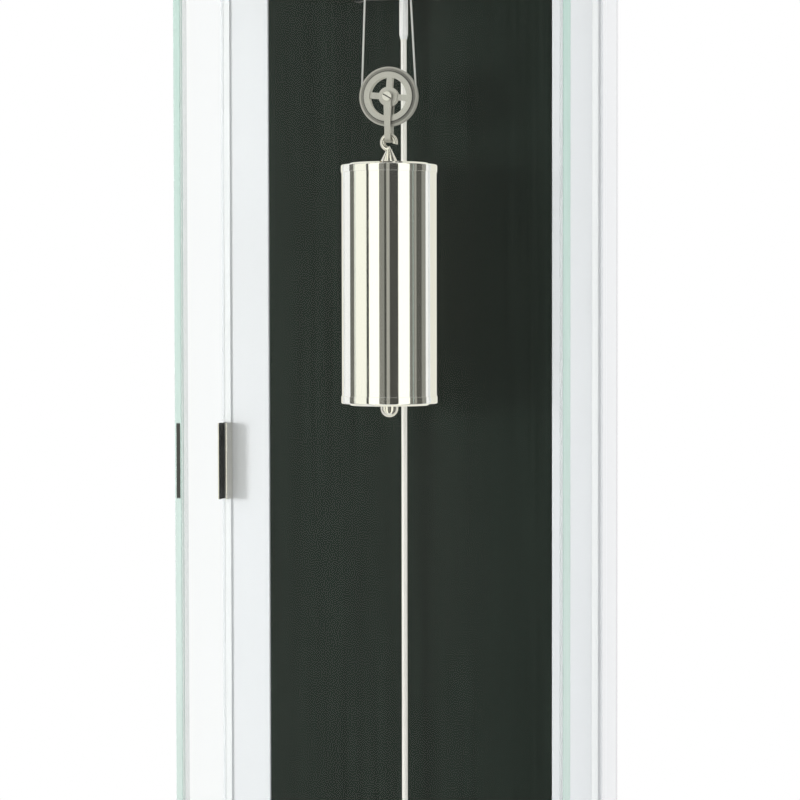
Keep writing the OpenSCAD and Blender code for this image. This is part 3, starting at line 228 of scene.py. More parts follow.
def turned_marks():
    """Fine rings round an axis, as a lathe or a polishing wheel leaves them."""
    inputs = {"Centre": (0.0, 0.0, 0.0), "Across": (1.0, 1.0, 0.0), "Density": 3000.0}
    nodes, given, end = shader_group("turned_marks", inputs, ["Height", "Mask"])
    offset = nodes.vector("SUBTRACT", nodes.place(), given["Centre"])
    flat = nodes.vector("MULTIPLY", offset, given["Across"])
    rings = nodes.math("MULTIPLY", nodes.vector("LENGTH", flat), given["Density"])
    drift = nodes.vector("MULTIPLY", flat, (30.0, 30.0, 30.0))
    path = nodes.vector("ADD", nodes.add("CombineXYZ", {"X": rings}).outputs[0], drift)
    bands = nodes.span(nodes.noise(path, 0.1, 2.0), 0.3, 0.7)
    nodes.fill(end, Height=nodes.noise(path, 1.0, 4.0, 0.6), Mask=bands)
    return nodes.tree


def lacquer_skin():
    """The soft ripple of sprayed lacquer, with its slow change of tone."""
    nodes, given, end = shader_group("lacquer_skin", {"Ripple": 260.0}, ["Height", "Mask"])
    place = nodes.place()
    clouds = nodes.span(nodes.noise(place, 5.0, 3.0), 0.3, 0.7)
    nodes.fill(end, Height=nodes.noise(place, given["Ripple"], 2.0, 0.4), Mask=clouds)
    return nodes.tree


def handling():
    """Faint finger marks and dust in scattered patches."""
    nodes, given, end = shader_group("handling", {"Size": 30.0, "Cover": 0.5}, ["Mask"])
    place = nodes.place()
    patches = nodes.span(nodes.noise(place, given["Size"], 4.0, 0.6), given["Cover"], 0.8)
    specks = nodes.span(nodes.noise(place, 900.0, 2.0), 0.62, 0.75)
    nodes.fill(end, Mask=nodes.math("MAXIMUM", patches, nodes.product(specks, 0.35)))
    return nodes.tree


def wood_grain():
    """Pores and streaks of a veneer along one direction."""
    nodes, given, end = shader_group("wood_grain", {"Along": (1.0, 1.0, 0.04)}, ["Height", "Mask"])
    along = nodes.place(given["Along"])
    pores = nodes.span(nodes.noise(along, 2600.0, 3.0, 0.7), 0.35, 0.6)
    nodes.fill(end, Height=pores, Mask=nodes.span(nodes.noise(along, 240.0, 4.0, 0.6), 0.3, 0.7))
    return nodes.tree


# Materials


def colour(name, factor=1.0):
    """A colour of the clock, made lighter or darker."""
    values = getattr(bpy.context.scene.clock_colours, name)
    return (values[0] * factor, values[1] * factor, values[2] * factor, 1.0)


def surface(name, **sockets):
    """The nodes of a new material, with its Principled shader's plain values set."""
    material = bpy.data.materials.new("clock_" + name)
    material.use_nodes = True
    nodes = Nodes(material.node_tree, material)
    nodes.fill(nodes.tree.nodes["Principled BSDF"], **sockets)
    return nodes


def bare(name):
    """The nodes of a new material that starts with none."""
    material = bpy.data.materials.new(name)
    material.use_nodes = True
    material.node_tree.nodes.clear()
    return Nodes(material.node_tree, material)


def white_lacquer():
    """White gloss, with painted shade along the rear edges that lie at the wall."""
    nodes = surface("white_lacquer", IOR=1.5, Coat_Weight=0.6, Coat_Roughness=0.03)
    skin = nodes.effect(lacquer_skin, Ripple=220.0)
    marks = nodes.effect(handling, Size=14.0, Cover=0.6)
    wall = CAD_BOX[1].y
    # painted shade: the lacquer is darkened towards the wall over the last 13 mm of the boards
    wall_shade = nodes.span(nodes.axes()["Y"], wall - 13 * MM, wall - 7 * MM)
    tone = nodes.mixed(skin["Mask"], colour("lacquer", 0.985), colour("lacquer"))
    tone = nodes.mixed(wall_shade, tone, colour("lacquer", 0.78))
    return nodes.coat(tone, nodes.span(marks["Mask"], 0.0, 1.0, 0.2, 0.32), skin["Height"], 0.04)


def black_panel():
    nodes = surface("black_panel", IOR=1.2)
    grain = nodes.effect(wood_grain, Along=(1.0, 1.0, 0.02))
    tone = nodes.mixed(grain["Mask"], colour("panel", 0.8), colour("panel", 1.25))
    return nodes.coat(tone, nodes.span(grain["Mask"], 0.0, 1.0, 0.36, 0.5), grain["Height"], 0.03)


def backing():
    """Bare fibre board."""
    nodes = surface("backing")
    fibres = nodes.noise(nodes.place(), 700.0, 6.0, 0.7)
    blotches = nodes.span(nodes.noise(nodes.place(), 25.0, 3.0), 0.4, 0.8, 0.0, 0.3)
    tone = nodes.mixed(nodes.span(fibres, 0.3, 0.7), (0.30, 0.21, 0.13, 1), (0.46, 0.34, 0.22, 1))
    tone = nodes.mixed(blotches, tone, (0.36, 0.26, 0.17, 1))
    return nodes.coat(tone, 0.75, fibres, 0.2)


def clear_glass():
    """Clear sheet glass, seen through with its surface's reflection."""
    nodes = bare("clock_clear_glass")
    marks = nodes.effect(handling, Size=9.0, Cover=0.55)
    through = nodes.add("BsdfTransparent", {"Color": (0.988, 0.992, 0.991, 1)}).outputs[0]
    soft = nodes.span(marks["Mask"], 0.0, 1.0, 0.1, 0.16)
    mirror = nodes.add("BsdfGlossy", {"Color": (1, 1, 1, 1), "Roughness": soft}).outputs[0]
    outside = nodes.math("SUBTRACT", 1.0, nodes.behind())
    share = nodes.product(nodes.add("Fresnel", {"IOR": 1.5}).outputs[0], 0.2, outside)
    nodes.add("OutputMaterial", {"Surface": nodes.shaders(share, through, mirror)})
    return nodes.material


def glass_edge():
    """The ground edge of the sheet, green-grey with the depth of the glass behind it, with a painted
    highlight near its rear and the clip's painted reflection in the left pane's front edge.
    """
    nodes = surface("glass_edge", IOR=1.5, Coat_Weight=0.5, Coat_Roughness=0.1)
    across, depth, height = nodes.axes()
    ground = nodes.effect(brushed, Lines=(3000.0, 3000.0, 60.0))
    rear, (low, high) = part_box("hood_left_pane")[1].y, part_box("clip_pad")
    tone = nodes.mixed(nodes.span(height, -0.75, -0.25), colour("glass_edge"), colour("glass_edge_top"))
    tone = nodes.mixed(nodes.span(ground["Mask"], 0.0, 1.0, 0.0, 0.25), tone, colour("glass_edge", 1.12))
    # painted highlight: the edge is painted near white over its last few mm before the rear
    tone = nodes.mixed(nodes.span(depth, rear - 6 * MM, rear - 2 * MM), tone, (0.94, 0.95, 0.95, 1))
    # painted reflection: the clip's dark image in the front edge of the left pane
    left, bottom, top = high.x + MM, low.z + 8 * MM, high.z + 5 * MM
    clip = nodes.product(
        nodes.math("SUBTRACT", 1.0, nodes.behind()),
        nodes.span(depth, rear - 60 * MM, rear - 80 * MM),
        nodes.span(height, bottom, bottom + MM),
        nodes.span(height, top, top - MM),
        nodes.span(across, left, left + 0.4 * MM),
        nodes.span(across, left + 3.5 * MM, left + 3 * MM),
    )
    tone = nodes.mixed(clip, tone, (0.006, 0.008, 0.0075, 1))
    return nodes.coat(tone, nodes.rough(ground["Height"], 0.18, 0.32), ground["Height"], 0.03, 0.4)


def clear_bead():
    """Clear rubbery filler in the hood's corners."""
    nodes = surface("clear_bead", IOR=1.42, Alpha=0.22)
    skin = nodes.noise(nodes.place((1.0, 1.0, 0.3)), 420.0, 4.0, 0.65)
    tone = nodes.mixed(nodes.span(skin, 0.35, 0.65), (0.56, 0.6, 0.6, 1), (0.72, 0.76, 0.75, 1))
    return nodes.coat(tone, nodes.rough(skin, 0.25, 0.45), skin, 0.2, 0.6)


def metal(name, tone, rough, spread, lines=None, about=None, relief=0.004, share=1.0):
    """A metal with brushed lines, or with turned marks about a CAD node."""
    nodes = surface(name, Metallic=share, IOR=1.5)
    marks = nodes.effect(brushed, Lines=lines) if lines else nodes.turned_round(*about)
    touched = nodes.product(nodes.effect(handling, Size=22.0, Cover=0.55)["Mask"], 0.05)
    rough = nodes.math("ADD", nodes.rough(marks["Height"], rough, rough + spread), touched)
    tone = nodes.mixed(marks["Mask"], colour(tone, 0.94), colour(tone, 1.03))
    return nodes.coat(tone, rough, marks["Height"], relief)


def pulley_nickel():
    """Satin nickel, with painted shade outside the rim's raised ring and in the step beside it."""
    nodes = surface("pulley_nickel", Metallic=0.45, IOR=1.5)
    step = (size_mm("pulley").x / 2 - 3.3) * MM
    marks = nodes.turned_round("pulley", 2500.0)
    offset = nodes.vector("SUBTRACT", nodes.place(), tuple(middle("pulley")))
    radius = nodes.vector("LENGTH", nodes.vector("MULTIPLY", offset, ROUND_FRONT))
    outside = nodes.span(radius, step - 0.2 * MM, step + 0.3 * MM)
    rim = nodes.span(radius, step + 1.7 * MM, step + 2.3 * MM)
    line = nodes.span(nodes.math("ABSOLUTE", nodes.math("SUBTRACT", radius, step)), 0.6 * MM, 0.2 * MM)
    tone = nodes.mixed(marks["Mask"], colour("satin", 0.92), colour("satin", 1.05))
    # painted shade: darkest in a line at the step, darker in the band outside it, less dark on the rim
    # beyond
    for share, factor in ((outside, 0.4), (rim, 0.8), (line, 0.16)):
        tone = nodes.mixed(share, tone, colour("satin", factor))
    return nodes.coat(tone, nodes.rough(marks["Height"], 0.34, 0.46), marks["Height"], 0.004)


def strap_nickel():
    """Satin nickel, with a painted highlight on the screw's head and painted shade in its slot."""
    nodes = surface("strap_nickel", Metallic=0.5, IOR=1.5)
    marks = nodes.effect(brushed, Lines=(700.0, 700.0, 700.0))
    front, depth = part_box("stirrup")[0].y, nodes.axes()["Y"]
    head = nodes.span(depth, front + 1.8 * MM, front + 1.7 * MM)
    floor = nodes.span(depth, front + 0.25 * MM, front + 0.4 * MM)
    offset = nodes.vector("SUBTRACT", nodes.place(), (0, 0, middle("pulley").z))
    away = nodes.math("ABSOLUTE", nodes.vector("DOT_PRODUCT", offset, (0.5, 0, 0.866)))
    slot = nodes.product(nodes.span(away, 0.6 * MM, 0.45 * MM), floor, head)
    tone = nodes.mixed(marks["Mask"], colour("satin", 0.94), colour("satin", 1.03))
    # painted highlight on the screw's head, and painted shade for its slot on the flat head
    for share, factor in ((head, 1.5), (slot, 0.06)):
        tone = nodes.mixed(share, tone, colour("satin", factor))
    return nodes.coat(tone, nodes.rough(marks["Height"], 0.34, 0.44), marks["Height"], 0.004)


def silvered_dial():
    nodes = surface("silvered_dial", Metallic=0.35, IOR=1.45)
    marks = nodes.turned_round("dial_plate", 6000.0)
    frost = nodes.noise(nodes.place(), 3500.0, 2.0)
    relief = nodes.math("ADD", marks["Height"], frost)
    tone = nodes.mixed(marks["Mask"], colour("dial", 0.97), colour("dial"))
    return nodes.coat(tone, nodes.rough(frost, 0.42, 0.58), relief, 0.01)


def black_enamel():
    nodes = surface("black_enamel", IOR=1.5, Coat_Weight=0.5, Coat_Roughness=0.08)
    skin = nodes.effect(lacquer_skin, Ripple=2500.0)
    tone = nodes.mixed(skin["Mask"], (0.006, 0.006, 0.007, 1), (0.012, 0.012, 0.013, 1))
    return nodes.coat(tone, nodes.rough(skin["Height"], 0.2, 0.3), skin["Height"], 0.01, 0.4)


def black_rubber():
    nodes = surface("black_rubber")
    grain = nodes.noise(nodes.place(), 1800.0, 4.0, 0.7)
    dust = nodes.product(nodes.effect(handling, Size=80.0, Cover=0.5)["Mask"], 0.3)
    tone = nodes.mixed(dust, (0.014, 0.014, 0.014, 1), (0.05, 0.05, 0.048, 1))
    return nodes.coat(tone, nodes.rough(grain, 0.55, 0.8), grain, 0.05, 0.6)


def magnet_grey():
    nodes = surface("magnet_grey", Metallic=0.7)
    pits = nodes.noise(nodes.place(), 1500.0, 4.0, 0.7)
    tone = nodes.mixed(pits, (0.05, 0.052, 0.055, 1), (0.12, 0.12, 0.125, 1))
    return nodes.coat(tone, nodes.rough(pits, 0.4, 0.6), pits, 0.05)


def stranded_line():
    nodes = surface("stranded_line", Metallic=0.55, IOR=1.5)
    wires = nodes.noise(nodes.place((1.0, 1.0, 0.25)), 5000.0, 2.0, 0.6)
    tone = nodes.mixed(nodes.span(wires, 0.3, 0.7), colour("line", 0.8), colour("line", 1.08))
    return nodes.coat(tone, nodes.rough(wires, 0.3, 0.5), wires, 0.04, 0.6)


# each metal's colour, least roughness and its spread, and its marks
METALS = {
    "satin_nickel": ("satin", 0.36, 0.1, {"lines": (700.0,) * 3, "share": 0.5}),
    "polished_nickel": ("nickel", 0.08, 0.06, {"lines": (500.0,) * 3}),
    "satin_steel": ("steel", 0.26, 0.12, {"lines": (150.0, 150.0, 3000.0)}),
    "polished_steel": ("steel", 0.12, 0.08, {"lines": (400.0,) * 3}),
    "dark_plating": ("dark_plate", 0.34, 0.14, {"lines": (2400.0, 2400.0, 120.0)}),
    "grained_brass": ("brass", 0.22, 0.12, {"lines": (180.0, 180.0, 3200.0)}),
    "rod_metal": ("rod", 0.3, 0.16, {"lines": (4000.0, 4000.0, 60.0), "share": 0.3}),
    "sleeve_metal": ("sleeve", 0.26, 0.12, {"lines": (4000.0, 4000.0, 60.0), "share": 0.4}),
    "core_metal": ("core", 0.5, 0.2, {"lines": (500.0,) * 3, "relief": 0.03}),
    "blued_steel": ("hand", 0.14, 0.08, {"lines": (900.0,) * 3}),
    "polished_bob": ("nickel", 0.1, 0.06, {"about": ("bob", 3500.0), "relief": 0.002}),
    "turned_brass": ("brass", 0.18, 0.1, {"about": ("centre_arbor", 5000.0)}),
    "barrel_brass": ("brass", 0.16, 0.1, {"about": ("barrel", 5000.0)}),
    "satin_ring": ("ring", 0.34, 0.12, {"about": ("dial_plate", 7000.0), "share": 0.4}),
    "polished_weight": (
        "bright_nickel", 0.05, 0.03, {"about": ("weight_shell", 2500.0, ROUND_UP), "relief": 0.001}
    ),
}
FINISHES = {
    make.__name__: make
    for make in (
        white_lacquer, black_panel, backing, clear_glass, glass_edge, clear_bead, pulley_nickel,
        strap_nickel, silvered_dial, black_enamel, black_rubber, magnet_grey, stranded_line,
    )
}


def look_of(name):
    """The material of a finish, made once."""
    known = bpy.data.materials.get("clock_" + name)
    if known or name in FINISHES:
        return known or FINISHES[name]()
    tone, rough, spread, more = METALS[name]
    return metal(name, tone, rough, spread, **more)


def paint(look, *nodes):
    """Gives CAD nodes that show as they are their material."""
    for node in nodes:
        frame["nodes"][node].material_slots[0].material = look_of(look)


# Making pieces


def clear_choice():
    if bpy.context.object and bpy.context.object.mode != "OBJECT":
        bpy.ops.object.mode_set(mode="OBJECT")
    bpy.ops.object.select_all(action="DESELECT")


def choose(*pieces):
    clear_choice()
    for piece in pieces:
        piece.select_set(True)
    bpy.context.view_layer.objects.active = pieces[-1]


def pick_faces(test):
    """Selects the faces of the open mesh that pass a test."""
    bpy.ops.mesh.select_all(action="DESELECT")
    bpy.ops.mesh.select_mode(type="FACE")
    mesh = bmesh.from_edit_mesh(bpy.context.object.data)
    for face in mesh.faces:
        if test(face):
            face.select_set(True)
    mesh.select_flush_mode()
    bmesh.update_edit_mesh(bpy.context.object.data)


def merge_doubles():
    bpy.ops.mesh.select_all(action="SELECT")
    bpy.ops.mesh.remove_doubles(threshold=0.000001)


def close_mesh():
    """Leaves edit mode with doubles merged and faces pointing outwards."""
    merge_doubles()
    bpy.ops.mesh.normals_make_consistent(inside=False)
    bpy.ops.object.mode_set(mode="OBJECT")


def settle():
    """Puts the piece's place, turn and scale in its mesh."""
    bpy.ops.object.transform_apply(location=True, rotation=True, scale=True)


def set_down(at, facing):
    """Turns and moves the piece in hand."""
    piece = bpy.context.object
    settle()
    piece.rotation_euler = FACING[facing]
    piece.location = at
    settle()
    return piece


def turned(profile, at=(0, 0, 0), facing="up", sides=64, ring=False):
    """A piece turned from radii and heights in mm. A ring's profile comes back to its start."""
    clear_choice()
    profile = [(max(r, 0.001) * MM, z * MM) for r, z in profile]
    radius, height = profile[0]
    bpy.ops.mesh.primitive_circle_add(
        vertices=sides, radius=radius, location=(0, 0, height), enter_editmode=True,
        fill_type="NOTHING" if ring else "NGON",
    )
    bpy.ops.mesh.select_mode(type="VERT")
    bpy.ops.mesh.select_all(action="SELECT")
    for r, z in profile[1:] + (profile[:1] if ring else []):
        bpy.ops.mesh.extrude_region_move(TRANSFORM_OT_translate={"value": (0, 0, z - height)})
        if r != radius:
            bpy.ops.transform.resize(value=(r / radius, r / radius, 1), center_override=(0, 0, z))
        radius, height = r, z
    close_mesh()
    return set_down(at, facing)


def slab(low, high):
    """A block between two corners, open in edit mode."""
    clear_choice()
    low, high = Vector(low), Vector(high)
    bpy.ops.mesh.primitive_cube_add(
        size=1, location=(low + high) / 2, scale=high - low, enter_editmode=True
    )
    return bpy.context.object


def cad_copy(*nodes):
    """A clean mesh of one or more CAD nodes, with its loose triangles merged to whole faces."""
    choose(*[frame["nodes"][node] for node in nodes])
    bpy.ops.object.duplicate()
    if len(nodes) > 1:
        bpy.ops.object.join()
    piece = bpy.context.object
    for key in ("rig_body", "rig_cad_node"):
        del piece[key]
    bpy.ops.mesh.customdata_custom_splitnormals_clear()
    bpy.ops.object.mode_set(mode="EDIT")
    merge_doubles()
    bpy.ops.mesh.dissolve_limited(angle_limit=radians(0.3))
    bpy.ops.object.mode_set(mode="OBJECT")
    return piece


def soften(piece, width, steps, angle):
    """Rounds a piece's sharp edges."""
    choose(piece)
    bevel = piece.modifiers.new("edges", "BEVEL")
    bevel.width, bevel.segments = width, steps
    bevel.limit_method, bevel.angle_limit = "ANGLE", radians(angle)
    bpy.ops.object.modifier_apply(modifier=bevel.name)


def finish(piece, name, look, body, slot, *replaced, angle=30):
    """Names a piece, smooths it, gives it its material and lets it ride on its body."""
    choose(piece)
    piece.name = piece.data.name = name
    settle()
    bpy.ops.object.shade_smooth_by_angle(angle=radians(angle))
    flats = piece.modifiers.new("flats", "WEIGHTED_NORMAL")
    flats.keep_sharp = True
    bpy.ops.object.modifier_apply(modifier=flats.name)
    piece.data.materials.clear()
    piece.data.materials.append(look_of(look))
    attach(piece, body)
    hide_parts(*replaced)
    return piece


def dressed(nodes, name, look, body, slot, edge, steps=2, corner=32, angle=30):
    """Takes the place of CAD nodes with a copy whose edges are rounded."""
    nodes = nodes.split()
    piece = cad_copy(*nodes)
    soften(piece, edge, steps, corner)
    return finish(piece, name, look, body, slot, *nodes, angle=angle)


def joined(pieces):
    choose(*pieces)
    if len(pieces) > 1:
        bpy.ops.object.join()
    return bpy.context.object


def screws(name, facing, spots, radius, height=None, look="polished_steel", body="case", slot="steel"):
    """Slotted screw heads that face one way, each at its place and with its slot's turn."""
    height = height or radius * 0.45
    r, h = radius / MM, height / MM
    head = turned([(r, 0), (r, h * 0.55), (r * 0.93, h * 0.85), (r * 0.8, h)], sides=24)
    cut_low = (-radius * 1.2, -radius * 0.13, height * 0.45)
    blade = slab(cut_low, (radius * 1.2, radius * 0.13, height * 1.5))
    choose(head)
    cut = head.modifiers.new("slot", "BOOLEAN")
    cut.operation, cut.object = "DIFFERENCE", blade
    bpy.ops.object.modifier_apply(modifier=cut.name)
    heads = []
    for *place, turn in spots:
        choose(head)
        bpy.ops.object.duplicate()
        copy = bpy.context.object
        upright = Matrix.Translation(place) @ FACING[facing].to_matrix().to_4x4()
        copy.matrix_world = upright @ Matrix.Rotation(radians(turn), 4, "Z")
        heads.append(copy)
    bpy.data.objects.remove(blade)
    bpy.data.objects.remove(head)
    return finish(joined(heads), name, look, body, slot)


def ring_of(centre, count, half, front, reach, edge):
    """Blocks set round an axis that points to the front, from one at the top. All sizes are in mm."""
    low, high = Vector((-half, front[0], reach[0])) * MM, Vector((half, front[1], reach[1])) * MM
    piece = slab(low + centre, high + centre)
    if edge:
        pick_faces(lambda face: face.normal.y < -0.9)
        bpy.ops.mesh.inset(thickness=edge * MM, depth=edge * MM)
        bpy.ops.mesh.select_all(action="SELECT")
    for _ in range(count - 1):
        bpy.ops.mesh.duplicate()
        bpy.ops.transform.rotate(value=2 * pi / count, orient_axis="Y", center_override=centre)
    close_mesh()
    return piece


def numerals(numbers, radius, size, centre):
    """Upright numbers round a dial."""
    made = []
    for place, number in enumerate(numbers):
        clear_choice()
        bpy.ops.object.text_add()
        lettering = bpy.context.object.data
        lettering.body = str(number)
        lettering.size = size
        lettering.align_x = lettering.align_y = "CENTER"
        lettering.extrude = PRINT_T / 2
        lettering.resolution_u = 3
        bpy.ops.object.convert(target="MESH")
        around = 2 * pi * (place + 1) / len(numbers)
        made.append(set_down(centre + radius * MM * (sin(around) * RIGHT + cos(around) * UP), "front"))
    return joined(made)


def laid_line(points, lay, spacing):
    """A line of three strands, laid up along a path of evenly spaced points."""
    clear_choice()
    section = bpy.data.curves.new("line_section", "CURVE")
    rim = section.splines.new("POLY")
    rim.points.add(14)
    for number, point in enumerate(rim.points):
        around = 2 * pi * number / len(rim.points)
        reach = LINE_R * (0.86 + 0.14 * abs(cos(1.5 * around)))
        point.co = (reach * cos(around), reach * sin(around), 0, 1)
    rim.use_cyclic_u = True
    shape = bpy.data.objects.new("line_section", section)
    path = bpy.data.curves.new("line_path", "CURVE")
    path.dimensions = "3D"
    run = path.splines.new("POLY")
    run.points.add(len(points) - 1)
    for number, (point, place) in enumerate(zip(run.points, points)):
        point.co = (*place, 1)
        point.tilt = 2 * pi * number * spacing / lay
    path.bevel_mode, path.bevel_object, path.use_fill_caps = "OBJECT", shape, True
    piece = bpy.data.objects.new("line_path", path)
    for thing in (shape, piece):
        bpy.context.scene.collection.objects.link(thing)
    choose(piece)
    bpy.ops.object.convert(target="MESH")
    bpy.data.objects.remove(shape)
    return bpy.context.object


def heading(angle):
    """The direction that an angle from the right, seen from the front, has."""
    return cos(angle) * RIGHT + sin(angle) * UP


def between(start, end, spacing):
    count = max(2, round((end - start).length / spacing) + 1)
    return [start.lerp(end, k / (count - 1)) for k in range(count)]


# Settings


def length(name, description, default, low, high):
    sizes = {"default": default * MM, "min": low * MM, "max": high * MM}
    return bpy.props.FloatProperty(
        name=name, description=description, unit="LENGTH", subtype="DISTANCE", **sizes
    )


def tint(name, description, *default):
    return bpy.props.FloatVectorProperty(
        name=name, description=description, default=default, min=0, max=1, size=3, subtype="COLOR"
    )


def power(name, description, default):
    return bpy.props.FloatProperty(
        name=name, description=description, default=default, min=0, max=500, unit="POWER", subtype="POWER"
    )


class ClockSizes(bpy.types.PropertyGroup):
    """Sizes of the finished pieces"""

    glass_arris: length("Glass arris", "Width of the ground corner along the glass", 0.35, 0.1, 0.8)
    board_edge: length("Board edge", "Radius of the lacquered boards' edges", 0.4, 0.1, 1)
    metal_edge: length("Metal edge", "Bevel along the edges of the metal fittings", 0.3, 0.1, 0.5)
    hinge_screw: length("Hinge screw", "Radius of the hinges' screw heads", 2.6, 1.5, 3.5)
    plate_screw: length("Plate screw", "Radius of the movement's screw heads", 2.8, 1.5, 3.4)
    line_lay: length("Lay of the line", "Length of one turn of the line's strands", 4.2, 2, 8)
    numeral: length("Hour numerals", "Height of the hour numerals", 9.5, 5, 12)
    seconds_numeral: length("Seconds numerals", "Height of the seconds numerals", 3.4, 2, 4)
    cap_round: length("Cap rounding", "Rounding of the weight's cap rims", 0.9, 0.2, 1.2)


class ClockColours(bpy.types.PropertyGroup):
    """Colours of the finishes"""

    lacquer: tint("Lacquer", "White gloss of the case", 0.86, 0.87, 0.89)
    panel: tint("Panel", "Black veneer behind the pendulum", 0.0145, 0.0210, 0.0165)
    glass_edge: tint("Glass edge", "Edge of the glass at its lower part", 0.61, 0.73, 0.68)
    glass_edge_top: tint("Glass edge, top", "Edge of the glass near the top", 0.5, 0.68, 0.61)
    nickel: tint("Nickel", "Bob, clip, hook and dome nut", 0.80, 0.78, 0.73)
    satin: tint("Satin nickel", "Pulley and stirrup", 0.52, 0.51, 0.46)
    bright_nickel: tint("Bright nickel", "Polished weight", 0.95, 0.94, 0.90)
    steel: tint("Steel", "Hinges, screws and arbors", 0.62, 0.63, 0.65)
    dark_plate: tint("Dark plating", "Back plate and base plate", 0.03, 0.031, 0.034)
    brass: tint("Brass", "Wheels and front plate", 0.83, 0.66, 0.32)
    rod: tint("Rod", "Pendulum rod", 0.95, 0.93, 0.88)
    sleeve: tint("Sleeve", "Upper part of the pendulum rod", 0.93, 0.94, 0.95)
    core: tint("Core", "Filling of the weight", 0.2, 0.21, 0.22)
    hand: tint("Hands", "Blued steel", 0.03, 0.05, 0.17)
    dial: tint("Dial", "Silvered dial", 0.87, 0.87, 0.85)
    ring: tint("Chapter ring", "Satin ring with the minutes", 0.84, 0.85, 0.86)
    line: tint("Line", "Stranded line", 0.72, 0.72, 0.70)


class ClockLight(bpy.types.PropertyGroup):
    """Light of the studio"""

    sky: bpy.props.FloatProperty(
        name="Sky", description="Level of the even light from all sides", default=0.62, min=0, max=2,
        subtype="FACTOR",
    )
    key: power("Key", "Power of the lamp at the front left", 45)
    fill: power("Fill", "Power of the lamp at the right", 22)


SETTINGS = {"clock_sizes": ClockSizes, "clock_colours": ClockColours, "clock_light": ClockLight}


# Pieces


